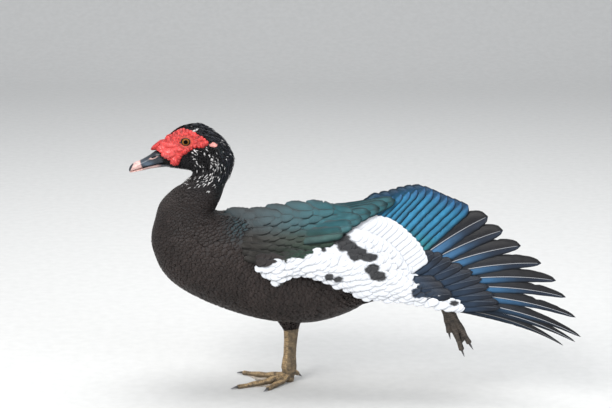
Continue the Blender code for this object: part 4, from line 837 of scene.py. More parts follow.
def build_left_wing(finish):
    """The stretched wing, tier by tier, with the flight feathers lowest."""
    flight = Vanes(34, 11, 41)

    def primary_paint(n):
        def paint(a, c, x, z, chance):
            inner = blend((0.012, 0.015, 0.021), (0.006, 0.006, 0.008), smoothstep(0.3, 0.85, a))
            # Painted sheen and shade: the inner vane is lighter near the shaft and darker towards its rim,
            # which the next feather covers.
            inner = inner * (0.55 + 0.75 * smoothstep(-1.0, -0.1, c))[..., None]
            fade = np.maximum(smoothstep(0.3 + 0.02 * n, 0.8, a), 0.85 * smoothstep(5.5, 8.0, n))
            outer = blend(np.array(STEEL) * 1.25, INK, fade)
            shade = (1.25 - 0.85 * smoothstep(0.45, 1.0, c)) * (1 - 0.6 * smoothstep(5.5, 7.5, n))
            outer = outer * shade[..., None]
            colour = np.where((c > 0.02)[..., None], outer, inner)
            streak = 1 + 0.1 * np.sin(c * 9 + chance.uniform(0, 6)) + 0.14 * flat_noise(x, z, 0.006, 50 + n)
            return colour * streak[..., None]
        return paint

    for (n, share), tip in zip(counted(len(PRIMARY_TIPS)), PRIMARY_TIPS):
        bend, taper = 12 + 12 * share, 0.35 + 0.65 * share
        flight.lay(left_sheet, on_path(PRIMARY_ROOTS, share), tip, 0.0135 - 0.008 * share,
                   0.0225 - 0.0135 * share, bend, taper, -0.0002 * n, primary_paint(n),
                   (0.5, 0.52, 0.55) if n < 9 else (0.2, 0.2, 0.2), 0.32, curl=-0.001)

    def secondary_paint(n):
        def paint(a, c, x, z, chance):
            base = blend(TEAL, BLUE, smoothstep(0.3, 0.55, a))
            base = towards(base, (0.012, 0.05, 0.13), smoothstep(0.82, 1.0, a) * 0.8)
            dark = smoothstep(0.6, 1.0, np.abs(c))
            ridge = 1 - 0.4 * np.exp(-(c / 0.1) ** 2)
            shade = (1 - 0.85 * dark) * ridge * (0.8 + 0.45 * np.sin(c * 3.0 + 0.4))
            streak = 1 + 0.16 * flat_noise(x, z, 0.008, 70 + n)
            return base * (shade * streak * (0.92 + 0.1 * (n % 3)))[..., None]
        return paint

    for n, share in counted(12):
        flight.lay(left_sheet, on_path(SECONDARY_ROOTS, share), on_path(SECONDARY_TIPS, share), 0.0108, 0.015,
                   4.0, 0.05, 0.0004, secondary_paint(n), (0.02, 0.05, 0.09), 0.55, blunt=0.8)
    flight.build("flight_feathers_left", finish)

    coverts = Vanes(18, 9, 42)

    def dark_paint(n):
        def paint(a, c, x, z, chance):
            base = blend((0.0165, 0.033, 0.062), (0.0085, 0.0115, 0.019), smoothstep(0.4, 0.95, a))
            edge = 1 - 0.45 * smoothstep(0.6, 1.0, np.abs(c))
            streak = 1 + 0.22 * flat_noise(x, z, 0.007, 90 + n)
            return base * (edge * streak)[..., None]
        return paint

    for (n, share), tip in zip(counted(len(HAND_TIPS)), HAND_TIPS):
        outer, inner = 0.0112 - 0.003 * share, 0.0125 - 0.004 * share
        coverts.lay(left_sheet, on_path(HAND_ROOTS, share), tip, outer, inner, 5.0, 0.5, 0.0026,
                    dark_paint(n), (0.07, 0.09, 0.12), 0.3, camber=0.05, louvre=0.05)
    for n, (root, tip) in enumerate(ALULA):
        coverts.lay(left_sheet, root, tip, 0.0105, 0.012, 5.0, 0.35, 0.0046 + 0.0006 * n, dark_paint(20 + n),
                    (0.05, 0.06, 0.08), 0.3, camber=0.05, louvre=0.04)

    def covert_paint(whole=False):
        def paint(a, c, x, z, chance):
            mid = x.shape[0] * 3 // 4
            px, pz = x[mid, x.shape[1] // 2], z[mid, x.shape[1] // 2]
            white, _ = wing_mark(np.array([px]), np.array([pz]))
            own, dark = wing_mark(x, z)
            white = np.clip(0.75 * white + 0.35 * own, 0, 1) if not whole else np.maximum(white, own)
            tone = 1 - 0.05 * smoothstep(0.5, 1.0, np.abs(c)) + 0.05 * flat_noise(x, z, 0.004, 8)
            pale = np.array(WHITE) * tone[..., None]
            green = blend(np.array(GREEN) * 0.7, (0.016, 0.03, 0.055), smoothstep(0.18, 0.2, x))
            green = towards(green, BROWN_BLACK, smoothstep(0.045, 0.015, x))
            green = towards(green, BLACK, smoothstep(0.5, 1.0, np.abs(c)))
            colour = towards(green, pale, smoothstep(0.35, 0.65, white))
            return colour + (np.array((0.013, 0.013, 0.015)) - colour) * dark[..., None] * 0.98
        return paint

    for roots, tips, outer, inner, lift in ((GREATER_ROOTS, GREATER_TIPS, 0.009, 0.0108, 0.0034),
                                            (MEDIAN_ROOTS, MEDIAN_TIPS, 0.0088, 0.01, 0.0058)):
        for _, share in counted(13):
            coverts.lay(left_sheet, on_path(roots, share), on_path(tips, share), outer, inner, 2.0, 0.0, lift,
                        covert_paint(), (0.7, 0.7, 0.72), 0.05, camber=0.05, louvre=0.05)
    coverts.build("wing_coverts_left", finish)

    small = Vanes(9, 7, 43)
    chance = np.random.default_rng(44)
    for k, x in enumerate(np.arange(0.272, -0.022, -0.0074)):
        low, high = np.interp(x, *LESSER_LOW.T), np.interp(x, *LESSER_HIGH.T)
        steps = max(1, int((high - low) / 0.0078))
        for m in range(steps + 1):
            z = low + 0.002 + (high - low) * (m + 0.5 * (k % 2)) / (steps + 0.5)
            if z > high + 0.004:
                continue
            spread = (z - low) / max(high - low, 0.01)
            slope = np.interp(spread, (0.0, 0.4, 1.0), (-0.1, 0.22, 0.62)) + chance.normal(0, 0.13)
            long = chance.uniform(0.0155, 0.02)
            root = (x + chance.normal(0, 0.0008), z + chance.normal(0, 0.0006))
            tip = (root[0] + long * math.cos(slope), root[1] + long * math.sin(slope))
            bare = np.interp(x, (-0.02, 0.08, 0.2, 0.28), (0.0088, 0.0085, 0.007, 0.0034))
            lens = bare * math.sqrt(max(0.02, 1 - (2 * spread - 1) ** 2)) + 0.0012
            wide = chance.uniform(0.0052, 0.0066)
            small.lay(left_sheet, root, tip, wide, wide, 0.0, 0.5, lens + 0.0005, covert_paint(True),
                      (0.6, 0.62, 0.65), 0.05, start_lift=lens - 0.0006, louvre=0.0,
                      shaft_width=0.0, camber=0.02, thick=0.0002, blunt=2.4)
    small.build("lesser_coverts_left", finish)


TERTIAL_TIPS = ((0.188, 0.2985), (0.1713, 0.2905), (0.152, 0.2805), (0.133, 0.268), (0.113, 0.252))
TERTIAL_ROOTS = ((0.056, 0.264), (0.02, 0.24))


def build_left_shoulder(finish):
    """The tertials, scapulars and shoulder feathers that lie over the wing's root."""
    long = Vanes(22, 9, 51)

    def glossy(n, high):
        def paint(a, c, x, z, chance):
            station = smoothstep(-0.03, 0.12, x)
            level = smoothstep(0.24, 0.262, z)
            lower = blend((0.013, 0.011, 0.0085), (0.011, 0.037, 0.0215), station)
            upper = blend((0.015, 0.026, 0.03), (0.012, 0.08, 0.096), smoothstep(-0.04, 0.1, x))
            base = towards(lower, upper, np.maximum(level, high))
            rim = smoothstep(0.62, 0.98, np.abs(c)) * smoothstep(0.1, 0.4, a)
            rim = np.maximum(rim, smoothstep(0.9, 1.0, a))
            base = base * (1 - 0.8 * rim)[..., None]
            streak = 1 + 0.2 * flat_noise(x, z, 0.007, 120 + n) - 0.25 * np.exp(-(c / 0.08) ** 2)
            return base * streak[..., None]
        return paint

    for n, share in counted(7):
        long.lay(left_sheet, on_path(TERTIAL_ROOTS, share), on_path(TERTIAL_TIPS, share), 0.0105, 0.011, -3.0,
                 0.15, 0.0062 + 0.0008 * n, glossy(n, 0.35), (0.02, 0.03, 0.03), 0.3)
    for k, share in counted(12):
        top = blend((0.128, 0.28), (-0.034, 0.263), share)
        low = blend((0.096, 0.234), (-0.026, 0.202), share)
        count = 6 if k < 9 else 7
        for n in range(count):
            level = (n + 0.5 * (k % 2)) / (count - 0.5)
            if k > 8 and level > 0.75:
                continue
            tip = top + (low - top) * level + long.chance.normal(0, 0.001, 2)
            slope = math.radians(6.0 - 16.0 * level) + long.chance.normal(0, 0.03)
            root = tip - 0.046 * np.array((math.cos(slope), math.sin(slope) * 0.8))
            lift = np.interp(k, (0, 8, 11), (0.0088, 0.0092, 0.001))
            start = np.interp(k, (0, 6, 8, 11), (0.006, 0.003, 0.0, -0.0075))
            long.lay(left_sheet, root, tip, 0.0105, 0.0105, -2.0, 0.25, lift, glossy(20 + 10 * k + n, 0.0),
                     (0.015, 0.015, 0.015), 0.22, start_lift=start, louvre=0.035, camber=0.08, blunt=2.0)
    long.build("scapulars_left", finish)


def build_right_wing(finish):
    """The folded wing: flight feathers low, then coverts and the glossy tertials over them."""
    made = Vanes(20, 9, 61)

    def dark(n, base):
        def paint(a, c, x, z, chance):
            rim = smoothstep(0.6, 1.0, np.abs(c))
            tone = 1 + 0.2 * flat_noise(x, z, 0.008, 150 + n) - 0.6 * rim
            return np.asarray(base) * tone[..., None]
        return paint

    def pale(a, c, x, z, chance):
        edge = 0.21 + 0.12 * (x - 0.02) + 0.004 * flat_noise(x, z, 0.012, 5)
        inside = (1 - smoothstep(edge - 0.003, edge + 0.003, z)) * smoothstep(-0.075, -0.06, x)
        blot = smoothstep(0.3, 0.42, flat_noise(x, z, 0.022, 9))
        white = np.array(WHITE) * (1 - 0.1 * smoothstep(0.5, 1.0, np.abs(c)))[..., None]
        base = blend(np.array(GREEN) * 0.8, BROWN_BLACK, smoothstep(0.0, -0.04, x))
        base = towards(base, BLACK, smoothstep(0.5, 1.0, np.abs(c)))
        return towards(base, white, inside * (1 - blot))

    # Count, ends of the roots, ends of the tips, width, taper, lift and colour, which is none where pale.
    tiers = (
        (7, ((0.066, 0.19), (0.084, 0.212)), ((0.262, 0.227), (0.236, 0.243)), 0.008, 0.8, 0.0016,
         (0.011, 0.017, 0.024)),
        (10, ((0.0, 0.17), (0.03, 0.218)), ((0.15, 0.186), (0.2, 0.237)), 0.009, 0.1, 0.0034,
         (0.016, 0.09, 0.095)),
        (5, ((0.03, 0.234), (0.05, 0.252)), ((0.19, 0.243), (0.176, 0.257)), 0.0095, 0.15, 0.0056,
         (0.018, 0.08, 0.09)),
        (10, ((-0.026, 0.17), (0.002, 0.226)), ((0.044, 0.172), (0.078, 0.231)), 0.0082, 0.0, 0.0062, None),
        (9, ((-0.052, 0.176), (-0.026, 0.228)), ((0.004, 0.174), (0.03, 0.23)), 0.0082, 0.0, 0.0078, None),
        (8, ((-0.07, 0.18), (-0.05, 0.226)), ((-0.022, 0.177), (-0.002, 0.228)), 0.008, 0.0, 0.0086, None),
        (8, ((-0.078, 0.19), (-0.07, 0.226)), ((-0.046, 0.188), (-0.034, 0.226)), 0.0074, 0.0, 0.009, None),
    )
    for k, (count, roots, tips, wide, taper, lift, tone) in enumerate(tiers):
        sheen, start = (0.08, 0.004) if tone is None else (0.35 if k == 0 else 0.55, 0.001)
        for n, share in counted(count):
            made.lay(right_sheet, on_path(roots, share), on_path(tips, share), wide, wide, -2.0, taper, lift,
                     dark(n + 20 * k, tone) if tone else pale, (0.03, 0.03, 0.03), sheen, start_lift=start,
                     louvre=0.06)
    for k, share in counted(11):
        top = blend((0.12, 0.256), (-0.05, 0.246), share)
        low = blend((0.106, 0.237), (-0.06, 0.224), share)
        base = blend((0.017, 0.07, 0.072), (0.015, 0.022, 0.023), share)
        start, lift = (np.interp(k, (0, 8, 10), rises) for rises in ((0.005, 0.006, -0.002),
                                                                   (0.0088, 0.0084, 0.002)))
        for n in range(4):
            tip = top + (low - top) * (n + 0.5 * (k % 2)) / 3.5 + made.chance.normal(0, 0.0008, 2)
            root = tip - np.array((0.04, -0.001 * n))
            made.lay(right_sheet, root, tip, 0.0095, 0.0095, -2.0, 0.2, lift, dark(200 + 4 * k + n, base),
                     (0.03, 0.03, 0.03), 0.45 - 0.3 * share, start_lift=start, louvre=0.05, blunt=1.6)
    made.build("folded_wing_right", finish)


def build_tail(finish):
    """The fan of the tail: pairs of broad feathers under two layers of coverts."""
    fan = Vanes(24, 9, 71)
    root_x, root_z = 0.22, 0.227

    def tail_sheet(side, k, share):
        turn = side * (math.radians(25.0) * share + math.radians(2.0))
        start = (root_x - 0.01 * share, BODY_Y + side * (0.004 + 0.014 * share))
        c, s = math.cos(turn), math.sin(turn)

        def sheet(u, v, lift):
            x = start[0] + u * c - side * v * s
            y = start[1] + u * s + side * v * c
            sag = 0.0012 * k + 0.1 * (y - BODY_Y) ** 2 / 0.05
            z = root_z + u * math.tan(math.radians(3.0)) - sag + lift
            return np.stack([x, y, z], axis=-1)
        return sheet

    def green_paint(n):
        def paint(a, c, x, z, chance):
            base = blend((0.012, 0.045, 0.04), (0.01, 0.016, 0.018), smoothstep(0.5, 1.0, a))
            rim = 1 - 0.6 * smoothstep(0.7, 1.0, np.abs(c))
            return base * (rim * (1 + 0.2 * flat_noise(x, z, 0.01, 170 + n)))[..., None]
        return paint

    for k, share in counted(9):
        length = 0.12 * (1 - 0.22 * share**1.5)
        for side in (-1, 1):
            fan.lay(tail_sheet(side, k * 0.7, share), (0.0, 0.0), (length, 0.0), 0.0125, 0.0125, 0.0, 0.1,
                    0.0, green_paint(k), (0.03, 0.035, 0.035), 0.5, start_lift=0.0, louvre=-0.05)
    for row, (height, slope, paint) in enumerate((
            (0.006, -0.055, green_paint(20)), (0.0105, -0.075, green_paint(21)),
            (-0.011, 0.045, green_paint(22)), (-0.016, 0.075, green_paint(23)))):
        for share in np.arange(9) / 8 - 0.5:
            turn = math.radians(40.0) * share
            start = (0.209 - 0.01 * (row % 2), BODY_Y + 0.046 * share, root_z + height)
            c, s = math.cos(turn), math.sin(turn)
            flip = 1 if row < 2 else -1

            def sheet(u, v, lift, start=start, c=c, s=s, slope=slope, share=share, flip=flip):
                x = start[0] + u * c - v * s
                y = start[1] + u * s + v * c
                z = start[2] + slope * u - 0.012 * abs(share) * flip + flip * lift
                return np.stack([x, y, z], axis=-1)

            length = (0.062 - 0.012 * (row % 2)) * (1 - 0.4 * abs(share))
            fan.lay(sheet, (0.0, 0.0), (length, 0.0), 0.009, 0.009, 0.0, 0.0, 0.0012, paint,
                    (0.02, 0.02, 0.02), 0.4, start_lift=0.0, louvre=0.04)
    fan.build("tail_feathers", finish)


# Finishes

def feed(tree, node, values):
    """Sets the inputs of a node, each to a number or joined to a socket."""
    for key, value in values.items():
        if isinstance(value, bpy.types.NodeSocket):
            tree.links.new(value, node.inputs[key])
        else:
            node.inputs[key].default_value = value


def add(tree, kind, values=None, **settings):
    """A node with its settings and its inputs."""
    made = tree.nodes.new(kind)
    for key, value in settings.items():
        setattr(made, key, value)
    feed(tree, made, values or {})
    return made


def attribute(tree, name, output="Color"):
    """A named value of the mesh."""
    return add(tree, "ShaderNodeAttribute", attribute_name=name).outputs[output]


def position(tree):
    """The place on the object."""
    return add(tree, "ShaderNodeTexCoord").outputs["Object"]


def noise_of(tree, at, scale, detail):
    """Smooth noise at a place."""
    return add(tree, "ShaderNodeTexNoise", {"Vector": at, "Scale": scale, "Detail": detail}).outputs[0]


def bump(tree, strength, distance, height):
    """The normal bent by a height."""
    values = {"Strength": strength, "Distance": distance, "Height": height}
    return add(tree, "ShaderNodeBump", values).outputs[0]


def math_node(tree, operation, first, second=0.0, third=0.0):
    """The result of one sum."""
    return add(tree, "ShaderNodeMath", {0: first, 1: second, 2: third}, operation=operation).outputs[0]


def ramp(tree, value, stops):
    """A colour read from a value by stops of place and colour."""
    made = add(tree, "ShaderNodeValToRGB", {0: value})
    bar = made.color_ramp
    bar.elements[0].position, bar.elements[1].position = stops[0][0], stops[-1][0]
    for place, _ in stops[1:-1]:
        bar.elements.new(place)
    for element, (_, colour) in zip(bar.elements, stops):
        element.color = (*colour, 1.0)
    return made.outputs[0]


def mix(tree, factor, first, second, kind="MIX"):
    """Two colours mixed."""
    made = add(tree, "ShaderNodeMix", {}, data_type="RGBA", blend_type=kind)
    feed(tree, made, {0: factor, 6: first, 7: second})
    return made.outputs[2]


def barb_group():
    """Node group for the grain of a feather.

    Barbs are fine waves that slant away from the shaft across the Vane map, broken up by noise.
    Tone is about one and multiplies a colour, and Height feeds a bump.
    """
    group = bpy.data.node_groups.get("Feather grain")
    if group:
        return group
    group = bpy.data.node_groups.new("Feather grain", "ShaderNodeTree")
    for label, kind, start in (("Barbs", "INPUT", 90.0), ("Depth", "INPUT", 0.12), ("Grain", "INPUT", 900.0),
                               ("Tone", "OUTPUT", 1.0), ("Height", "OUTPUT", 0.0)):
        socket = group.interface.new_socket(name=label, in_out=kind, socket_type="NodeSocketFloat")
        socket.default_value = start
    given = add(group, "NodeGroupInput")
    out = add(group, "NodeGroupOutput")
    place = add(group, "ShaderNodeUVMap", uv_map="Vane").outputs[0]
    parts = add(group, "ShaderNodeSeparateXYZ", {0: place})
    here = position(group)
    fine = noise_of(group, here, given.outputs["Grain"], 3.0)
    broad = noise_of(group, here, 140.0, 2.0)
    off = math_node(group, "ABSOLUTE", math_node(group, "SUBTRACT", parts.outputs[0], 0.5))
    slant = math_node(group, "MULTIPLY_ADD", off, -0.22, parts.outputs[1])
    slant = math_node(group, "MULTIPLY_ADD", broad, 0.02, slant)
    run = math_node(group, "MULTIPLY", slant, given.outputs["Barbs"])
    wave = math_node(group, "SINE", math_node(group, "MULTIPLY", run, 2 * math.pi))
    tone = math_node(group, "MULTIPLY_ADD", wave, given.outputs["Depth"], 1.0)
    rough = math_node(group, "SUBTRACT", fine, 0.5)
    feed(group, out, {"Tone": math_node(group, "MULTIPLY_ADD", rough, 0.34, tone),
                      "Height": math_node(group, "MULTIPLY_ADD", rough, 1.2, wave)})
    return group


def new_finish(name):
    """An empty finish with its shader."""
    made = bpy.data.materials.new(name)
    made.use_nodes = True
    tree = made.node_tree
    return made, tree, tree.nodes["Principled BSDF"]


def feather_finish(name, barbs, depth, rough, relief):
    """Feathers: the Tint colour times the grain, glossier where Sheen is high, with fine barbs."""
    made, tree, shader = new_finish(name)
    grain = add(tree, "ShaderNodeGroup", node_tree=barb_group())
    feed(tree, grain, {"Barbs": barbs, "Depth": depth})
    sheen, tone = attribute(tree, "Sheen", "Fac"), grain.outputs["Tone"]
    grey = add(tree, "ShaderNodeCombineXYZ", {0: tone, 1: tone, 2: tone}).outputs[0]
    feed(tree, shader, {"Base Color": mix(tree, 1.0, attribute(tree, "Tint"), grey, "MULTIPLY"),
                        "Metallic": math_node(tree, "MULTIPLY", sheen, 0.75),
                        "Roughness": math_node(tree, "MULTIPLY_ADD", sheen, -0.18, rough),
                        "Normal": bump(tree, relief, 0.0003, grain.outputs["Height"]),
                        "Specular IOR Level": 0.35})
    return made


def face_finish():
    """Bare red skin: the Tint colour, pebbled and waxy, with painted shade in the fine pits between the
    pebbles, whose tops are lighter.
    """
    made, tree, shader = new_finish("bare red skin")
    here, calm = position(tree), attribute(tree, "Calm", "Fac")
    lively = math_node(tree, "MULTIPLY_ADD", calm, -0.85, 1.0)
    cells = add(tree, "ShaderNodeTexVoronoi", {"Vector": here, "Scale": 900.0}, feature="F1")
    cells = cells.outputs["Distance"]
    noise = noise_of(tree, here, 300.0, 4.0)
    # Painted shade and highlight: the red is lighter on the tops of the fine pebbles and darker in the pits
    # between them.
    pale = ramp(tree, cells, ((0.0, (1.15, 1.2, 1.2)), (0.75, (0.82, 0.62, 0.62))))
    patch = ramp(tree, noise, ((0.35, (0.78, 0.7, 0.7)), (0.65, (1.12, 1.1, 1.05))))
    colour = mix(tree, lively, attribute(tree, "Tint"), pale, "MULTIPLY")
    height = math_node(tree, "MULTIPLY_ADD", cells, -1.0, noise)
    height = math_node(tree, "MULTIPLY", height, lively)
    feed(tree, shader, {"Base Color": mix(tree, 1.0, colour, patch, "MULTIPLY"),
                        "Roughness": math_node(tree, "MULTIPLY_ADD", calm, -0.16, 0.42),
                        "Normal": bump(tree, 0.5, 0.0004, height), "Subsurface Weight": 0.12,
                        "Subsurface Radius": (0.004, 0.0015, 0.001), "Subsurface Scale": 1.0})
    return made


def horn_finish(name, rough, scratch):
    """Bill and claws: the Tint colour under a hard shine, with faint lengthwise scratches and wear."""
    made, tree, shader = new_finish(name)
    here = position(tree)
    drawn = add(tree, "ShaderNodeMapping", {"Vector": here, "Scale": (90.0, 700.0, 700.0)}).outputs[0]
    lines, spots = noise_of(tree, drawn, 1.0, 4.0), noise_of(tree, here, 220.0, 3.0)
    tone = ramp(tree, spots, ((0.3, (0.7, 0.72, 0.76)), (0.7, (1.3, 1.26, 1.2))))
    feed(tree, shader, {"Base Color": mix(tree, 1.0, attribute(tree, "Tint"), tone, "MULTIPLY"),
                        "Roughness": math_node(tree, "MULTIPLY_ADD", lines, 0.25, rough - 0.12),
                        "Normal": bump(tree, scratch, 0.0002, lines)})
    return made


def leg_finish():
    """Leg and web skin: the Tint colour over small plates, darker in the creases between them."""
    made, tree, shader = new_finish("scaled leg skin")
    here = position(tree)
    plates = add(tree, "ShaderNodeTexVoronoi", {"Vector": here, "Scale": 620.0}, feature="DISTANCE_TO_EDGE")
    plates, noise = plates.outputs["Distance"], noise_of(tree, here, 180.0, 4.0)
    crease = ramp(tree, plates, ((0.0, (0.55, 0.5, 0.46)), (0.18, (1.0, 1.0, 1.0))))
    wear = ramp(tree, noise, ((0.36, (0.62, 0.6, 0.58)), (0.62, (1.22, 1.18, 1.1))))
    creased = mix(tree, 1.0, attribute(tree, "Tint"), crease, "MULTIPLY")
    height = math_node(tree, "MINIMUM", plates, 0.2)
    feed(tree, shader, {"Base Color": mix(tree, 1.0, creased, wear, "MULTIPLY"),
                        "Normal": bump(tree, 0.7, 0.001, height), "Roughness": 0.55})
    return made


def eye_finish():
    """The eye: black pupil, golden brown iris with fine spokes and a dark rim, under a clear coat."""
    made, tree, shader = new_finish("golden eye")
    centred = add(tree, "ShaderNodeMapping", {"Vector": position(tree), "Location": (-EYE[0], 0.0, -EYE[1])})
    parts = add(tree, "ShaderNodeSeparateXYZ", {0: centred.outputs[0]})
    flat = add(tree, "ShaderNodeCombineXYZ", {0: parts.outputs[0], 1: 0.0, 2: parts.outputs[2]}).outputs[0]
    reach = add(tree, "ShaderNodeVectorMath", {0: flat}, operation="LENGTH").outputs["Value"]
    share = math_node(tree, "DIVIDE", reach, EYE_RADIUS)
    angle = math_node(tree, "ARCTAN2", parts.outputs[2], parts.outputs[0])
    spokes = add(tree, "ShaderNodeCombineXYZ", {0: math_node(tree, "MULTIPLY", angle, 9.0),
                                                1: math_node(tree, "MULTIPLY", share, 3.0)}).outputs[0]
    fibre = noise_of(tree, spokes, 2.2, 3.0)
    shifted = math_node(tree, "MULTIPLY_ADD", fibre, 0.05, math_node(tree, "SUBTRACT", share, 0.025))
    colour = ramp(tree, shifted, ((0.0, PUPIL), (0.41, PUPIL), (0.45, (0.09, 0.032, 0.007)),
                                  (0.56, (0.27, 0.105, 0.02)), (0.68, (0.33, 0.145, 0.034)),
                                  (0.78, (0.05, 0.024, 0.01)), (0.84, (0.002, 0.002, 0.002))))
    tone = ramp(tree, fibre, ((0.3, (0.65, 0.65, 0.65)), (0.7, (1.25, 1.25, 1.25))))
    feed(tree, shader, {"Base Color": mix(tree, 1.0, colour, tone, "MULTIPLY"), "Roughness": 0.3,
                        "Specular IOR Level": 0.0, "Coat Weight": 0.12, "Coat Roughness": 0.03})
    return made


# Skin and face

def remeshed(name, parts, size, rounds):
    """One closed skin over several closed shapes: they are joined, cut to small cubes and smoothed."""
    points, loops, totals = join(parts)
    rough = put_mesh(name + "_rough", points, loops, totals, bpy.data.materials.new("none"))
    step = rough.modifiers.new("one skin", "REMESH")
    step.mode = "VOXEL"
    step.voxel_size = size
    soft = rough.modifiers.new("soft", "SMOOTH")
    soft.iterations = rounds
    soft.factor = 0.5
    bpy.context.view_layer.update()
    graph = bpy.context.evaluated_depsgraph_get()
    mesh = rough.evaluated_get(graph).to_mesh()
    points, normals = (read_all(mesh.vertices, key, 3) for key in ("co", "normal"))
    loops = read_all(mesh.loops, "vertex_index", 1, np.int32)
    totals = read_all(mesh.polygons, "loop_total", 1, np.int32)
    rough.evaluated_get(graph).to_mesh_clear()
    data = rough.data
    bpy.data.objects.remove(rough)
    bpy.data.meshes.remove(data)
    return points, normals, loops, totals


def column_rings(start, end, halves, around=28, steps=14):
    """Rings of an oval column. halves are rows of share, half depth and half width."""
    start, end = np.array(start, float), np.array(end, float)
    axis = unit(end - start)
    deep = unit(np.cross(axis, (0, 1, 0)))
    wide = np.cross(deep, axis)
    halves = np.array(halves)
    share = np.linspace(0, 1, steps)
    a, b = (np.interp(share, halves[:, 0], halves[:, k]) for k in (1, 2))
    t = turns(around)
    middle = start + (end - start) * share[:, None]
    return (middle[:, None] + deep * (a[:, None] * np.cos(t))[..., None]
            + wide * (b[:, None] * np.sin(t))[..., None])


# Joints of both legs: the ankle is the joint at the shank's upper end.
STAND_JOINT = (0.031, 0.0, 0.0225)
STAND_ANKLE = (0.0345, -0.001, 0.0835)
HIP_RIGHT = (0.028, 0.006, 0.135)
LIFT_JOINT = (0.2465, -0.059, 0.152)
LIFT_ANKLE = (0.185, -0.056, 0.161)
HIP_LEFT = (0.085, -0.033, 0.156)

# The thighs' columns as share, half depth and half width, and the arm's low and high edge and depth.
THIGH_ROWS = ((0.0, 0.034, 0.024), (0.35, 0.029, 0.021), (0.65, 0.0195, 0.015), (0.9, 0.012, 0.01),
              (1.0, 0.01, 0.0085))
PAD_LOW = np.array(((-0.053, 0.212), (-0.027, 0.2024), (-0.0136, 0.195), (-0.006, 0.184), (0.007, 0.1763),
                    (0.0137, 0.177), (0.024, 0.1903), (0.048, 0.1894), (0.078, 0.182), (0.112, 0.168),
                    (0.137, 0.1583), (0.17, 0.1554), (0.199, 0.1534), (0.23, 0.1493), (0.256, 0.1435),
                    (0.28, 0.14)))
PAD_HIGH = np.array(((-0.04, 0.258), (-0.01, 0.267), (0.06, 0.272), (0.1, 0.266), (0.14, 0.25),
                     (0.19, 0.216), (0.225, 0.187), (0.255, 0.165), (0.28, 0.144)))
PAD_THICK = np.array(((-0.05, 0.003), (-0.02, 0.006), (0.08, 0.0072), (0.16, 0.0066), (0.22, 0.0046),
                      (0.28, 0.0014)))


def arm_rings():
    """The fleshy arm of the stretched wing: a lens between its low and its high edge."""
    x = np.linspace(-0.05, 0.279, 90)[:, None]
    t = turns(28)[None]
    low, high = np.interp(x, *PAD_LOW.T) + 0.0012, np.interp(x, *PAD_HIGH.T)
    deep = np.interp(x, *PAD_THICK.T)
    z = (low + high) / 2 + (high - low) / 2 * np.cos(t)
    bulge = deep * np.sin(t)
    return left_sheet(x + 0 * t, z, np.where(bulge > 0, bulge, 1.4 * bulge))


def eye_middle(side):
    """Middle of one eye."""
    return np.array((EYE[0], BODY_Y + side * EYE_Y, EYE[1]))


def build_skin(finish):
    """One skin over head, neck, torso, thighs, tail root and the stretched wing's arm."""
    inner = ring_surface(np.linspace(0.02, len(RING_ROWS) - 1.02, 260), turns(96), 1.0)
    parts = [tube(inner)]
    for hip, ankle in ((HIP_RIGHT, STAND_ANKLE), (HIP_LEFT, LIFT_ANKLE)):
        parts.append(tube(column_rings(hip, ankle, THIGH_ROWS)))
    parts.append(tube(arm_rings()))
    points, _, loops, totals = remeshed("skin", parts, 0.0019, 4)
    for side, _ in SIDES:
        gap = np.linalg.norm(points - eye_middle(side), axis=1)
        near = gap < EYE_RADIUS + 0.0012
        points[near] = points[near] - np.array((0, side, 0)) * (EYE_RADIUS + 0.0012 - gap[near])[:, None]
    tint = body_colours(points, 9)[0] * 0.9
    white, _ = wing_mark(points[:, 0], points[:, 2])
    arm = (points[:, 1] < -0.07) & (white > 0.5) & (points[:, 0] > -0.02)
    tint[arm] = np.array(WHITE) * 0.8
    made = put_mesh("body_skin", points, loops, totals, finish, colours={"Tint": tint},
                    values={"Sheen": np.full(len(points), 0.1)}, uvs={"Vane": points[:, [0, 2]] * 20})
    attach(made, "root")
    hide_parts("torso", "neck", "head", "tail", "thigh_left", "thigh_right", "wing_left", "wing_right")


def lid_share(x, z):
    """Distance from the middle of the eye as a share of the opening between the lids."""
    return np.hypot((x - EYE[0]) / LID_OPENING[0], (z - EYE[1]) / LID_OPENING[1])


def rim_lobes():
    """Middles and radii of the round lobes that make up the edge of the bare skin."""
    chance = np.random.default_rng(25)
    corners = np.vstack([FACE_OUTLINE, FACE_OUTLINE[:1]])
    lengths = np.concatenate([[0], np.cumsum(np.linalg.norm(np.diff(corners, axis=0), axis=1))])
    found = []
    for reach in np.arange(0.002, lengths[-1], 0.0058):
        here, ahead = (np.array([np.interp(r % lengths[-1], lengths, corners[:, k]) for k in (0, 1)])
                       for r in (reach, reach + 0.003))
        way = unit(ahead - here)
        found.append((here + np.array((way[1], -way[0])) * 0.0019, chance.uniform(0.0024, 0.004)))
    return found


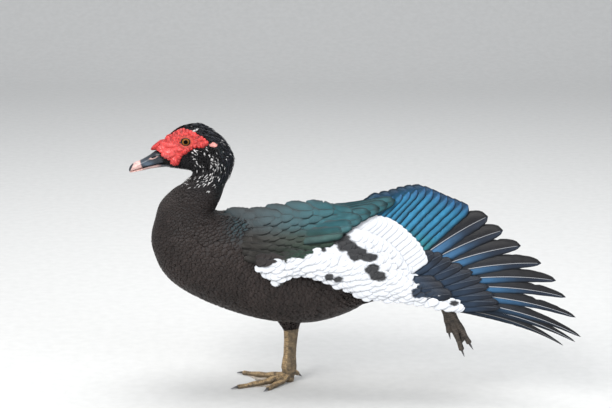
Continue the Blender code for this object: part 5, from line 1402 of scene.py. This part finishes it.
def face_height(points):
    """Height of the bare skin over the skull.

    It falls away outside an outline of round lobes. Inside it carries the large bulbs as rounded
    mounds, small warts, and folds round the eye. Where the lids open it sinks.
    """
    x, z = points[..., 0], points[..., 2]
    inside = distance_inside(FACE_OUTLINE, x, z) - 0.0012
    crown = np.abs(points[..., 1] - BODY_Y) - np.interp(x, CROWN_X, CROWN_HALF)
    lobes = np.zeros(x.shape)
    for (mx, mz), size in rim_lobes():
        away = np.hypot(x - mx, z - mz)
        inside = np.maximum(inside, size - away)
        lobes = np.maximum(lobes, np.sqrt(np.clip(1 - (away / size) ** 2, 0, 1)) * size * 0.42)
    patch = 0.003 * (1 - np.hypot((x - EAR_PATCH[0]) / 0.0062, (z - EAR_PATCH[1]) / 0.0032))
    patch = patch + 0.0009 * hash_noise(points, 0.0035, 26)
    inside = np.maximum(np.minimum(inside, crown), patch)
    lobes = lobes * smoothstep(0.0, 0.003, crown)
    height = -0.003 + 0.0038 * smoothstep(-0.0018, 0.0008, inside) + lobes
    within = smoothstep(0.0, 0.0016, inside)
    bulbs = np.zeros(x.shape)
    for (mx, mz), (rx, rz), rise in CHEEK_BULBS:
        away = np.hypot((x - mx) / rx, (z - mz) / rz)
        bulbs = np.maximum(bulbs, rise * np.clip(1 - away**2, 0, 1) ** 0.7)
    q = lid_share(x, z)
    chance = np.random.default_rng(24)
    low, high = FACE_OUTLINE.min(axis=0), FACE_OUTLINE.max(axis=0)
    warts = np.zeros(x.shape)
    for mx, mz in chance.uniform(low, high, (900, 2)):
        size = chance.uniform(0.0008, 0.0017)
        away = np.hypot(x - mx, z - mz)
        warts = np.maximum(warts, np.clip(1 - (away / size) ** 2, 0, 1) ** 0.6 * size * 0.5)
    calm = np.exp(-((x + 0.15) / 0.019) ** 4 - ((z - 0.3615) / 0.012) ** 4)
    height = height + bulbs * within + warts * within * (1 - 0.9 * calm) * smoothstep(1.35, 1.8, q)
    folds = np.cos((q - 1.15) * 2 * math.pi / 0.36) * np.exp(-((q - 1.75) / 0.45) ** 2)
    height = height + 0.0004 * folds * within
    return height, warts, q, inside, calm


def build_face(finish):
    """The bare red skin of the face with its bulbs, folds, warts and lids, and the knob on the bill."""
    rows = np.linspace(0.05, 8.6, FACE_ROWS)
    angles = turns(FACE_ROUND)
    base = ring_surface(rows, angles, 0.0)
    normal = grid_normals(base, True)
    height, warts, q, inside, calm = face_height(base)
    points = base + normal * height[..., None]
    off = points[..., 1] - BODY_Y
    reach = np.hypot(base[..., 0] - EYE[0], base[..., 2] - EYE[1])
    ball = EYE_Y + np.sqrt(np.clip(EYE_RADIUS**2 - reach**2, 0, 1))
    lid = np.abs(off) + np.maximum(0, ball + 0.001 - np.abs(off)) * (1 - smoothstep(1.1, 2.3, q))
    lid = lid + 0.0006 * np.exp(-((q - 1.12) / 0.1) ** 2)
    lid = lid - 0.007 * (1 - smoothstep(0.86, 1.02, q))
    points[..., 1] = np.where(q < 2.3, BODY_Y + np.sign(off) * lid, points[..., 1])
    keep = inside > -0.003
    quads = grid_quads(FACE_ROWS, FACE_ROUND, True)[:, ::-1]
    quads = quads[keep.ravel()[quads].any(axis=1)]
    used = np.unique(quads)
    lookup = np.zeros(FACE_ROWS * FACE_ROUND, np.int64)
    lookup[used] = np.arange(len(used))
    x, z = base[..., 0], base[..., 2]
    noise = hash_noise(base, 0.006, 30)
    # Painted shade: the red darkens in the crevices between the warts; random patches darken it as well.
    hollow = np.clip(0.52 - warts / 0.0009, 0, 0.52) * (1 - calm) + 0.3 * smoothstep(0.15, 0.8, noise)
    colour = blend((0.68, 0.052, 0.048), (0.2, 0.008, 0.01), np.clip(hollow, 0, 1))
    pale = calm * (0.35 + 0.25 * noise)
    colour = towards(colour, (0.78, 0.16, 0.16), np.clip(pale, 0, 1))
    near = np.exp(-((q - 1.4) / 0.25) ** 2)
    colour = towards(colour, (0.62, 0.105, 0.04), 0.5 * near)
    ahead = np.clip((EYE[0] - 0.0048 - x) / 0.0058, 0, 2)
    corner = (x < EYE[0] - 0.0048) & (np.abs(z - EYE[1] + 0.001 + 0.0006 * ahead) < 0.0026 * (1 - ahead))
    rim = np.maximum(1 - smoothstep(1.16, 1.26, q + 0.03 * noise), corner)
    colour = towards(colour, (0.012, 0.007, 0.007), rim)
    ear = np.hypot((x - EAR_PATCH[0]) / 0.009, (z - EAR_PATCH[1]) / 0.006) < 1
    colour[ear] = np.array((0.68, 0.34, 0.31)) * (1 + 0.25 * noise[ear])[:, None]
    face = lookup[quads]
    made = put_mesh("face_skin", points.reshape(-1, 3)[used], face.ravel(), np.full(len(face), 4), finish,
                    colours={"Tint": colour.reshape(-1, 3)[used]}, values={"Calm": calm.ravel()[used]})
    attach(made, "root")

    u, v = np.meshgrid(np.linspace(0.0, math.pi, 90), turns(120), indexing="ij")
    ball = np.stack([np.cos(u), np.sin(u) * np.cos(v), np.sin(u) * np.sin(v)], axis=-1)
    ball[..., 2] *= np.where(ball[..., 2] < 0, 2.0, 1.0) * (0.94 + 0.14 * ball[..., 0])
    bumps = 1 + 0.05 * hash_noise(ball, 0.5, 41) + 0.045 * hash_noise(ball, 0.22, 42)
    bumps = bumps - 0.05 * np.exp(-(ball[..., 1] / 0.1) ** 2)
    knob = ball * KNOB_SIZE * bumps[..., None]
    c, s = math.cos(KNOB_TILT), math.sin(KNOB_TILT)
    x, z = knob[..., 0] * c - knob[..., 2] * s, knob[..., 0] * s + knob[..., 2] * c
    knob = np.stack([x + KNOB[0], knob[..., 1] + BODY_Y, z + KNOB[1]], axis=-1)
    points, loops, totals = tube(knob[1:-1])
    deep = smoothstep(-0.2, 0.7, hash_noise(points, 0.004, 43))
    colour = blend((0.62, 0.05, 0.045), (0.36, 0.016, 0.016), deep)
    made = put_mesh("knob", points, loops, totals, finish, colours={"Tint": colour})
    face_out(made)
    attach(made, "root")


def build_eyes(finish):
    """Two round eyes that sit in the skull as deep as the solids have them."""
    for side, label in SIDES:
        u, v = np.meshgrid(np.linspace(0.02, math.pi - 0.02, 40), turns(56), indexing="ij")
        ball = np.stack([np.sin(u) * np.cos(v), side * np.cos(u), np.sin(u) * np.sin(v)], axis=-1)
        points, loops, totals = tube(ball * EYE_RADIUS + eye_middle(side))
        made = put_mesh("eyeball_" + label, points, loops, totals, finish)
        face_out(made)
        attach(made, "root")
        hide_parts("eye_" + label)


# Bill

BILL_ROWS = np.array((
    (-0.143, 0.365, 0.342, 0.3365, 0.012), (-0.154, 0.364, 0.3412, 0.3358, 0.0122),
    (-0.165, 0.361, 0.34, 0.3346, 0.012), (-0.176, 0.3532, 0.3378, 0.3328, 0.0114),
    (-0.187, 0.3468, 0.3345, 0.3304, 0.0115), (-0.196, 0.3425, 0.3318, 0.3288, 0.012),
    (-0.2025, 0.3385, 0.3298, 0.3274, 0.0098), (-0.2065, 0.3338, 0.3284, 0.3268, 0.0058),
))
NOSTRIL = (-0.169, 0.3518)


def build_bill(finish):
    """Both halves of the bill: arched above, flat below, with nostrils, a nail and a combed edge."""
    for upper in (True, False):
        places = np.linspace(0, len(BILL_ROWS) - 1, 150)
        rows = smooth_rows(BILL_ROWS, places)
        x, top, mouth, bottom, wide = (rows[:, k, None] for k in range(5))
        angle = turns(96)[None]
        c, s = np.cos(angle), np.sin(angle)
        if upper:
            low, high, up = mouth + 0.0001, top, 1.0
        else:
            low, high, up = bottom, mouth - 0.0001, -1.0
            wide = wide - 0.0016
        rounded, flat = np.abs(s) ** 0.95, 1 - (1 - np.abs(s)) ** 1.7
        share = np.sign(s) * np.where(s * up > 0, rounded, flat)
        y = BODY_Y + wide * np.sign(c) * np.abs(c) ** 0.85
        z = (low + high) / 2 + (high - low) / 2 * share
        points = np.stack([x + 0 * z, y, z], axis=-1)
        end = smoothstep(0, 1, (places - 6.3) / 0.7)[:, None, None]
        centre = points[-1].mean(axis=0)
        points = points + (centre - points) * (0.55 * end**2)
        normal = grid_normals(points, True)
        inner = np.stack([x + 0 * z, 0 * z + BODY_Y, (low + high) / 2 + 0 * z], axis=-1)
        normal = normal * np.sign(np.einsum("ijk,ijk->ij", normal, points - inner))[..., None]
        off, xs, zs = points[..., 1] - BODY_Y, points[..., 0], points[..., 2]
        height = np.zeros(xs.shape)
        if upper:
            over = zs - NOSTRIL[1] - 0.3 * (xs - NOSTRIL[0])
            hole = np.hypot((xs - NOSTRIL[0]) / 0.0038, over / 0.0013)
            height -= 0.0022 * (1 - smoothstep(0.55, 1.05, hole))
            height += 0.0006 * np.exp(-((hole - 1.35) / 0.35) ** 2)
            nail = smoothstep(-0.1945, -0.1965, xs) * smoothstep(0.0056, 0.0048, np.abs(off))
            height += 0.0006 * nail
            line = np.exp(-((np.abs(off) - 0.0054) / 0.0007) ** 2)
            height -= 0.0004 * line * smoothstep(-0.194, -0.196, xs)
        edge = np.exp(-((zs - mouth) / 0.0011) ** 2) * (np.abs(c) > 0.6)
        height += 0.00022 * edge * np.sin(xs / 0.0011 * 2 * math.pi) * smoothstep(-0.2, -0.196, xs)
        points = points + normal * height[..., None]
        noise = hash_noise(points, 0.006, 51) * 0.6 + hash_noise(points, 0.002, 52) * 0.4
        dark, pink = (0.017, 0.022, 0.031), (0.64, 0.42, 0.39)
        border = -0.1852 - 0.35 * (zs - 0.331) + 0.001 * noise
        share = smoothstep(0.0012, -0.0012, xs - border)
        if upper:
            nail_dark = smoothstep(0.0006, -0.0006, xs + 0.2052 - 0.47 * (zs - 0.329) + 0.0005 * noise)
            share = share * (1 - np.clip(nail_dark, 0, 1))
            ring = smoothstep(2.3, 1.5, hole + 0.5 * noise) * smoothstep(0.85, 1.15, hole)
            below = smoothstep(0.0006, -0.0008, over)
            share = np.maximum(share, 0.75 * ring * below)
        else:
            side_pink = 0.5 * smoothstep(0.5, 0.95, np.abs(c)) * smoothstep(-0.156, -0.166, xs)
            share = np.maximum(share, side_pink)
        colour = blend(dark, pink, share) * (1 + 0.2 * noise)[..., None]
        if upper:
            # Painted shade: nearly black inside the nostril's dent.
            colour = colour * (1 - 0.93 * (1 - smoothstep(0.55, 0.95, hole)))[..., None]
            # A steel-blue patch on the side of the upper bill: partly the horn's own colour, partly a painted
            # reflection.
            behind = xs + 0.177
            steel_patch_and_reflection = np.exp(-(np.hypot(behind / 0.01, (zs - 0.341 + 0.15 * behind) / 0.0042)) ** 2)
            colour = colour + np.array((0.07, 0.105, 0.15)) * (steel_patch_and_reflection * (1 - share))[..., None]
        p, loops, totals = tube(points)
        tint = np.vstack([colour.reshape(-1, 3), colour[0].mean(axis=0)[None], colour[-1].mean(axis=0)[None]])
        label = "upper" if upper else "lower"
        made = put_mesh("bill_" + label + "_horn", p, loops, totals, finish, colours={"Tint": tint})
        face_out(made)
        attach(made, "root")
        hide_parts("bill_" + label)


# Legs and feet

SHANK_ROWS = ((0.0, 0.0118, 0.009), (0.1, 0.0116, 0.0086), (0.3, 0.0098, 0.0076), (0.6, 0.0098, 0.0076),
              (0.85, 0.011, 0.0088), (1.0, 0.0118, 0.0095))
# Each leg: its side, the angles of its toes, its joint and ankle, and the colours of plates, of the skin
# between them and of the webs. The lifted left leg's colours are much darker than the standing right leg's:
# painted shade.
LEGS = {
    "right": (1, (56.0, 26.0, -27.0), STAND_JOINT, STAND_ANKLE,
              ((0.47, 0.345, 0.195), (0.14, 0.108, 0.068), (0.6, 0.56, 0.51))),
    "left": (-1, (10.5, 0.0, -10.5), LIFT_JOINT, LIFT_ANKLE,
             ((0.1, 0.082, 0.068), (0.042, 0.037, 0.034), (0.1, 0.09, 0.08))),
}
HEEL_ROWS = ((0.0, 0.008, 0.007), (0.45, 0.0108, 0.0086), (1.0, 0.0112, 0.0085))
SOLE_ROWS = ((0.0, 0.0066, 0.006), (0.25, 0.0082, 0.0075), (1.0, 0.008, 0.007))
HIND_ROWS = ((0.0, 0.0044, 0.0044), (0.5, 0.0037, 0.0037), (0.9, 0.0029, 0.0029), (1.0, 0.0015, 0.0015))
TOE_LENGTHS = (0.056, 0.086, 0.08)
TOE_RADII = (0.0064, 0.0038)
TOE_SQUASH = 0.86
TOE_SUNK = 0.0005
SCUTE_STEP = 0.0034
WEB_THICK = 0.0016


def turn_about(axis, angle):
    """A turn about an axis as a matrix."""
    x, y, z = unit(np.array(axis, float))
    c, s = math.cos(angle), math.sin(angle)
    cross = np.array(((0, -z, y), (z, 0, -x), (-y, x, 0)))
    return np.eye(3) + s * cross + (1 - c) * cross @ cross


def frame_from(forward, up):
    """A turn whose X runs forward and whose Z is as near to up as it can be."""
    x = unit(np.array(forward, float))
    y = unit(np.cross(up, x))
    return np.stack([x, y, np.cross(x, y)], axis=1)


def foot_frame(label):
    """Turn and place of a foot's own frame, which has the toes forward and the sole down."""
    if label == "right":
        return np.diag((-1.0, -1.0, 1.0)), np.array((0.031, 0.0, 0.0))
    angle = math.radians(71.0)
    fall = np.array((math.cos(angle), 0.0, -math.sin(angle)))
    rise = np.array((-math.sin(angle), 0.0, -math.cos(angle)))
    turn = frame_from(fall, turn_about(fall, math.radians(-72.0)) @ rise)
    joint, ankle = np.array(LIFT_JOINT), np.array(LIFT_ANKLE)
    return turn, joint + unit(joint - ankle) * 0.016


def toe_line(angle, length, share, side):
    """Middle line of a toe in the foot's own frame: straight out, low, and higher at the joint."""
    share = np.asarray(share, float)
    c, s = math.cos(math.radians(angle)), math.sin(math.radians(angle))
    reach = length * share
    rest = (TOE_RADII[0] * (1 - share) + TOE_RADII[1] * share) * TOE_SQUASH - TOE_SUNK
    return np.stack([reach * c, side * reach * s, rest + 0.007 * np.clip(1 - share, 0, 1) ** 3], axis=-1)


def path_rings(path, radii, squash, around=24):
    """Rings round a path, a little flattened."""
    ahead = unit(np.gradient(path, axis=0))
    across = unit(np.cross(ahead, (0.0, 0.0, 1.0)))
    up = np.cross(across, ahead)
    t = turns(around)
    wide, high = radii[:, None] * np.cos(t), radii[:, None] * squash * np.sin(t)
    return path[:, None] + across[:, None] * wide[..., None] + up[:, None] * high[..., None]


def hind_toe(label):
    """The foot's middle below its joint, and the root and the way of its hind toe."""
    side, _, joint, _, _ = LEGS[label]
    turn, place = foot_frame(label)
    heel = place + turn @ np.array((0.0, 0.0, 0.008))
    back = -turn[:, 0]
    way = unit(back * 0.8 + turn @ np.array((0.0, -0.25 * side, -0.62)))
    return heel, heel + (np.array(joint) - heel) * 0.75 + back * 0.004, way


def web_grid(k, side, angles, up):
    """One face of the skin between two toes, wrinkled, with its free edge hollowed."""
    share, t = np.meshgrid(np.linspace(0.06, 0.94, 60), np.linspace(0, 1, 44), indexing="ij")
    hollow = 0.3 if side > 0 else 0.05
    pull = 1 - hollow * share * 4 * t * (1 - t)
    a = toe_line(angles[k], TOE_LENGTHS[k], share * pull, side)
    b = toe_line(angles[k + 1], TOE_LENGTHS[k + 1], share * pull, side)
    here = a + (b - a) * t[..., None]
    sag = 1 - np.minimum(1.0, 4 * t * (1 - t) + share)
    ridge = 0.00035 * np.sin(t * 9 * math.pi + 2.5 * hash_noise(here, 0.012, 61)) * 4 * t * (1 - t)
    here[..., 2] = (here[..., 2] - WEB_THICK) * sag + up - TOE_SUNK
    here[..., 2] += ridge + 0.0003 * hash_noise(here, 0.004, 62)
    return here, share, t


def build_leg(label, finish):
    """Shank, toes and webs of one leg.

    Shank and toes are grown together to one skin. Its front and the tops of its toes are cut into
    rows of plates by narrow grooves. The webs are thin closed sheets between the toes.
    """
    right = label == "right"
    side, angles, joint, ankle, (tan, olive, web) = LEGS[label]
    joint, ankle = np.array(joint), np.array(ankle)
    turn, place = foot_frame(label)
    heel, root, way = hind_toe(label)
    axis = unit(ankle - joint)
    parts = [tube(column_rings(joint - axis * 0.002, ankle + axis * 0.004, SHANK_ROWS, 40, 40))]
    for angle, length in zip(angles, TOE_LENGTHS):
        share = np.linspace(0, 1.0, 60)
        knobs = 1 + 0.1 * np.cos(share * math.pi * 6)
        radii = (TOE_RADII[0] * (1 - share) + TOE_RADII[1] * share) * knobs
        radii = radii * np.sqrt(np.clip((1.02 - share) / 0.03, 0.02, 1))
        rings = path_rings(toe_line(angle, length, share, side), radii, TOE_SQUASH)
        parts.append(tube(rings @ turn.T + place))
    low = place + turn @ np.array((0.0, 0.0, -TOE_SUNK + 0.0006))
    for start, end, halves in ((heel, joint + axis * 0.003, HEEL_ROWS), (low, (heel + joint) / 2, SOLE_ROWS),
                               (root, root + way * 0.015, HIND_ROWS)):
        parts.append(tube(column_rings(start, end, halves)))
    points, normals, loops, totals = remeshed("leg", parts, 0.00075, 3)

    own = (points - place) @ turn
    facing = normals @ turn
    nearest, along = np.full(len(points), 1e9), np.zeros(len(points))
    for angle, length in zip(angles, TOE_LENGTHS):
        c, s = math.cos(math.radians(angle)), side * math.sin(math.radians(angle))
        share = np.clip((own[:, 0] * c + own[:, 1] * s) / length, 0, 1)
        away = np.linalg.norm(own - toe_line(angle, length, share, side), axis=1)
        along = np.where(away < nearest, share * length, along)
        nearest = np.minimum(nearest, away)
    up_shank = (points - joint) @ axis
    on_shank = smoothstep(-0.004, 0.002, up_shank)
    ahead = np.array((-1.0, 0, 0)) if right else np.array((-0.15, 0, -1.0))
    front = unit(ahead - (ahead @ axis) * axis)
    plated = on_shank * smoothstep(0.15, 0.45, normals @ front)
    plated = plated + (1 - on_shank) * smoothstep(0.2, 0.55, facing[:, 2])
    run = np.where(on_shank > 0.5, up_shank, along) + 0.0006 * hash_noise(points, 0.005, 63)
    phase = run / SCUTE_STEP % 1.0
    groove = np.exp(-((phase - 0.5) / 0.1) ** 2)
    swell = np.cos(phase * 2 * math.pi) * 0.00016
    cells = hash_noise(points, 0.0016, 64)
    height = plated * (swell - 0.00042 * groove) + (1 - plated) * 0.00018 * cells
    height = height + 0.00022 * hash_noise(points, 0.006, 65)
    points = points + normals * height[:, None]
    if right:
        points[:, 2] = np.maximum(points[:, 2], 0.00005)

    spots = smoothstep(0.2, 0.6, hash_noise(points, 0.005, 66) + 0.35 * hash_noise(points, 0.0022, 67))
    colour = blend(olive, tan, np.clip(plated * 0.9 + 0.15, 0, 1))
    colour = towards(colour, (0.022, 0.018, 0.015), 0.6 * spots * np.where(on_shank > 0.5, 0.5, 1))
    colour = colour * (1 - 0.55 * groove * plated)[:, None]
    tints = [colour * (1 + 0.25 * cells)[:, None]]
    meshes = [(points, loops, totals)]
    for k in range(2):
        top, share, t = web_grid(k, side, angles, WEB_THICK)
        low = web_grid(k, side, angles, 0.0002)[0]
        faces = closed_sheet(*share.shape)
        if side * (angles[k] - angles[k + 1]) > 0:
            faces = faces[:, ::-1]
        both = np.concatenate([top.reshape(-1, 3), low.reshape(-1, 3)]) @ turn.T + place
        meshes.append((both, faces.ravel(), np.full(len(faces), 4)))
        veins = 0.5 + 0.5 * np.sin(t * 9 * math.pi + 2.5 * hash_noise(top, 0.012, 61))
        tone = 0.72 + 0.4 * veins - 0.35 * smoothstep(0.85, 1.0, share)
        tone = tone * (1 + 0.22 * hash_noise(top, 0.005, 68))
        near_toe = smoothstep(0.16, 0.0, np.minimum(t, 1 - t))
        shade = blend(web, np.array(tan) * 0.7, near_toe * 0.7) * tone[..., None]
        tints.append(np.concatenate([shade.reshape(-1, 3)] * 2))
    p, l, totals = join(meshes)
    made = put_mesh("leg_skin_" + label, p, l, totals, finish, colours={"Tint": np.vstack(tints)})
    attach(made, "root")
    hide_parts("shank_" + label, "foot_" + label)


def build_claws(label, finish):
    """The four claws of one foot: curved horns that narrow to a blunt tip, paler towards it."""
    side, angles = LEGS[label][:2]
    turn, place = foot_frame(label)
    _, root, way = hind_toe(label)
    bases = []
    for angle, length in zip(angles, TOE_LENGTHS):
        tip, before = toe_line(angle, length, 1.0, side), toe_line(angle, length, 0.9, side)
        ahead = turn @ unit(tip - before)
        bases.append((place + turn @ tip, ahead, turn[:, 2], 0.0115))
    bases.append((root + way * 0.0145, way, turn[:, 2] + turn[:, 0], 0.006))
    parts, tints = [], []
    for start, ahead, up, length in bases:
        share = np.linspace(-0.2, 1, 26)
        path = np.stack([length * share, 0 * share, -0.1 * length * np.abs(share) * share], axis=-1)
        radius = 0.0021 * (1 - 0.8 * np.clip(share, 0, 1) ** 1.4)
        radius = radius * np.sqrt(np.clip((1.01 - share) / 0.05, 0.02, 1))
        t = turns(20)
        ring = np.stack([0 * t, 0.8 * np.cos(t), np.where(np.sin(t) < 0, 0.72, 1.08) * np.sin(t)], axis=-1)
        rings = path[:, None] + ring[None] * radius[:, None, None]
        parts.append(tube(rings @ frame_from(ahead, up).T + start))
        tone = np.concatenate([np.repeat(share, 20), [share[0], share[-1]]])
        tints.append(blend((0.045, 0.042, 0.042), (0.23, 0.235, 0.25), np.clip(tone, 0, 1) ** 1.5))
    p, l, totals = join(parts)
    made = put_mesh("claws_" + label + "_horn", p, l, totals, finish, colours={"Tint": np.vstack(tints)})
    face_out(made)
    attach(made, "root")
    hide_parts(*("claw_" + label + "_" + str(k) for k in (1, 2, 3, 4)))


def build_thigh_feathers(finish):
    """Small loose feathers down both thighs to a ragged cuff over the ankle."""
    for label, hip, ankle, seed in (("right", HIP_RIGHT, STAND_ANKLE, 71),
                                    ("left", HIP_LEFT, LIFT_ANKLE, 72)):
        sweep = Sweep(column_rings(hip, ankle, THIGH_ROWS, 120, 160))
        places = np.linspace(0, 1, 160)
        space = ((0.0, 0.6, 1.0), (0.0058, 0.0044, 0.003))
        row, column, at = spread_roots(0.02, 0.985, space, seed, sweep, places)
        tint, edge = body_colours(at, seed)
        share = row / 160
        long = np.interp(share, (0, 0.6, 1.0), (0.018, 0.014, 0.0075))
        tufts("thigh_feathers_" + label, row, column, long, long * 0.62, 0.0018, 0.001, tint * 1.15,
              edge * 1.1, 0.12, finish, seed, 0.12, 0.08, 0.08, sweep=sweep)


def build_underwing(finish):
    """White small feathers on the far side of the stretched arm, some of them black in patches."""
    sweep = Sweep(arm_rings())
    places = sweep.grid[:, :, 0].mean(axis=1)
    row, column, at = spread_roots(0.005, 0.262, ((0.0, 0.26), (0.0062, 0.0048)), 73, sweep, places)
    far = read_skin(sweep.normal, row, column)[:, 1] > -0.25
    row, column, at = row[far], column[far], at[far]
    chance = np.random.default_rng(74)
    white = np.array(WHITE) * chance.uniform(0.85, 1.0, (len(row), 1))
    dark = hash_noise(at, 0.03, 75)[:, None] > 0.35
    tint = np.where(dark, np.array((0.03, 0.03, 0.033)), white)
    tufts("underwing_coverts", row, column, np.full(len(row), 0.0165), np.full(len(row), 0.0095), 0.0022,
          0.0008, tint, tint, 0.1, finish, 75, 0.12, 0.12, sweep=sweep)


# Stage

def floor_finish():
    """A pale matt floor with a faint fine grain."""
    made, tree, shader = new_finish("pale floor")
    noise = noise_of(tree, position(tree), 60.0, 5.0)
    feed(tree, shader, {"Base Color": ramp(tree, noise, ((0.3, (0.6, 0.6, 0.59)), (0.7, (0.64, 0.64, 0.63)))),
                        "Roughness": 0.85})
    return made


AIM = np.array((0.057, 0.0, 0.2775))
VIEW_RISE = 12.0
VIEW_REACH = 2.9
VIEW_LENS = 113.7
WALL = 3.0
BEND = 1.2


def build_stage(settings):
    """A floor that curves up behind, three soft lights, a pale sky and the camera of the photo."""
    run = np.linspace(-4.0, 4.0, 41)
    depth = np.linspace(-6.0, 7.0, 90)
    angle = np.clip((depth - WALL) / BEND, 0, math.pi / 2)
    y = np.minimum(depth, WALL + BEND * np.sin(angle))
    z = np.where(depth > WALL, BEND * (1 - np.cos(angle)), 0.0)
    z = z + np.maximum(0, depth - WALL - BEND * math.pi / 2)
    points = np.stack(np.broadcast_arrays(run[None], y[:, None], z[:, None]), axis=-1)
    quads = grid_quads(90, 41)[:, ::-1]
    floor = put_mesh("studio_floor", points.reshape(-1, 3), quads.ravel(), np.full(len(quads), 4),
                     floor_finish())
    for name, at, size, power, colour in (
            ("key_light", (-1.3, -2.0, 2.2), 1.6, 75.0, (1.0, 0.985, 0.96)),
            ("fill_light", (1.8, -1.8, 1.3), 2.0, 26.0, (0.94, 0.97, 1.0)),
            ("top_light", (0.2, 0.6, 2.4), 2.2, 48.0, (1.0, 1.0, 1.0))):
        lamp = bpy.data.lights.new(name, "AREA")
        lamp.shape = "DISK"
        lamp.size = size
        lamp.energy = power * settings.light_power
        lamp.color = colour
        made = bpy.data.objects.new(name, lamp)
        made.location = at
        way = mathutils.Vector(np.array(at) - np.array((0.1, 0, 0.2)))
        made.rotation_euler = way.to_track_quat("Z", "Y").to_euler()
        bpy.context.scene.collection.objects.link(made)
    world = bpy.data.worlds.new("pale sky")
    world.use_nodes = True
    world.node_tree.nodes["Background"].inputs[0].default_value = (0.92, 0.95, 1.0, 1.0)
    world.node_tree.nodes["Background"].inputs[1].default_value = 0.62
    bpy.context.scene.world = world
    rise = math.radians(VIEW_RISE)
    lens = bpy.data.cameras.new("photo_camera")
    lens.lens = VIEW_LENS
    lens.sensor_width = 36.0
    camera = bpy.data.objects.new("photo_camera", lens)
    camera.location = AIM + VIEW_REACH * np.array((0.0, -math.cos(rise), math.sin(rise)))
    camera.rotation_euler = (math.pi / 2 - rise, 0.0, 0.0)
    bpy.context.scene.collection.objects.link(camera)
    bpy.context.scene.camera = camera
    bpy.context.scene.view_settings.view_transform = "Standard"
    bpy.context.scene.view_settings.look = "None"


# Add-on

FINISHES = {
    "small feathers": lambda: feather_finish("small feathers", 26.0, 0.05, 0.6, 0.15),
    "long feathers": lambda: feather_finish("long feathers", 90.0, 0.09, 0.42, 0.25),
    "bare red skin": face_finish,
    "golden eye": eye_finish,
    "bill horn": lambda: horn_finish("bill horn", 0.38, 0.3),
    "claw horn": lambda: horn_finish("claw horn", 0.4, 0.45),
    "scaled leg skin": leg_finish,
}


def finish_of(label):
    """The finish of that name, made the first time it is asked for."""
    return bpy.data.materials.get(label) or FINISHES[label]()


class DuckLooks(bpy.types.PropertyGroup):
    """Settings of the duck's stage."""

    light_power: bpy.props.FloatProperty(
        name="Light power", description="Strength of the three studio lights", default=0.92, min=0.0,
        max=10.0, subtype="FACTOR")


class DUCK_OT_skin(bpy.types.Operator):
    """Grow the skin that lies under the feathers"""

    bl_idname = "duck.skin"
    bl_label = "Body skin"

    def execute(self, context):
        build_skin(finish_of("small feathers"))
        return {"FINISHED"}


class DUCK_OT_coat(bpy.types.Operator):
    """Lay the small feathers of head, neck, body and thighs"""

    bl_idname = "duck.coat"
    bl_label = "Small feathers"

    def execute(self, context):
        for build in (build_body_feathers, build_crest, build_white_flecks, build_thigh_feathers,
                      build_underwing):
            build(finish_of("small feathers"))
        return {"FINISHED"}


class DUCK_OT_wings(bpy.types.Operator):
    """Lay the long feathers of both wings and the scapulars"""

    bl_idname = "duck.wings"
    bl_label = "Wings"

    def execute(self, context):
        for build in (build_left_wing, build_left_shoulder, build_right_wing):
            build(finish_of("long feathers"))
        return {"FINISHED"}


class DUCK_OT_tail(bpy.types.Operator):
    """Lay the tail's feathers"""

    bl_idname = "duck.tail"
    bl_label = "Tail"

    def execute(self, context):
        build_tail(finish_of("long feathers"))
        return {"FINISHED"}


class DUCK_OT_face(bpy.types.Operator):
    """Build the bare red face with its lids and bulbs, and the two eyes"""

    bl_idname = "duck.face"
    bl_label = "Face and eyes"

    def execute(self, context):
        build_face(finish_of("bare red skin"))
        build_eyes(finish_of("golden eye"))
        return {"FINISHED"}


class DUCK_OT_bill(bpy.types.Operator):
    """Build both halves of the bill"""

    bl_idname = "duck.bill"
    bl_label = "Bill"

    def execute(self, context):
        build_bill(finish_of("bill horn"))
        return {"FINISHED"}


class DUCK_OT_legs(bpy.types.Operator):
    """Build both legs with toes, webs and claws"""

    bl_idname = "duck.legs"
    bl_label = "Legs"

    def execute(self, context):
        for _, label in SIDES:
            build_leg(label, finish_of("scaled leg skin"))
            build_claws(label, finish_of("claw horn"))
        return {"FINISHED"}


class DUCK_OT_stage(bpy.types.Operator):
    """Set the floor, the lights, the sky and the camera"""

    bl_idname = "duck.stage"
    bl_label = "Stage"

    def execute(self, context):
        build_stage(context.scene.duck_looks)
        return {"FINISHED"}


OPERATORS = (DUCK_OT_skin, DUCK_OT_coat, DUCK_OT_wings, DUCK_OT_tail, DUCK_OT_face, DUCK_OT_bill,
             DUCK_OT_legs, DUCK_OT_stage)


class DUCK_PT_looks(bpy.types.Panel):
    """Sidebar panel with one button for each piece"""

    bl_label = "Duck"
    bl_idname = "DUCK_PT_looks"
    bl_space_type = "VIEW_3D"
    bl_region_type = "UI"
    bl_category = "Duck"

    def draw(self, context):
        column = self.layout.column()
        column.prop(context.scene.duck_looks, "light_power")
        for operator in OPERATORS:
            column.operator(operator.bl_idname)


def register():
    """Adds the classes and the scene's settings."""
    for kind in (DuckLooks, *OPERATORS, DUCK_PT_looks):
        bpy.utils.register_class(kind)
    bpy.types.Scene.duck_looks = bpy.props.PointerProperty(type=DuckLooks)


def unregister():
    """Takes the classes and the settings away again."""
    del bpy.types.Scene.duck_looks
    for kind in reversed((DuckLooks, *OPERATORS, DUCK_PT_looks)):
        bpy.utils.unregister_class(kind)


def main():
    """Registers the add-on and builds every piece."""
    register()
    for name in ("skin", "coat", "wings", "tail", "face", "bill", "legs", "stage"):
        if getattr(bpy.ops.duck, name)() != {"FINISHED"}:
            raise RuntimeError("the step " + name + " did not finish")


if __name__ == "__main__":
    main()
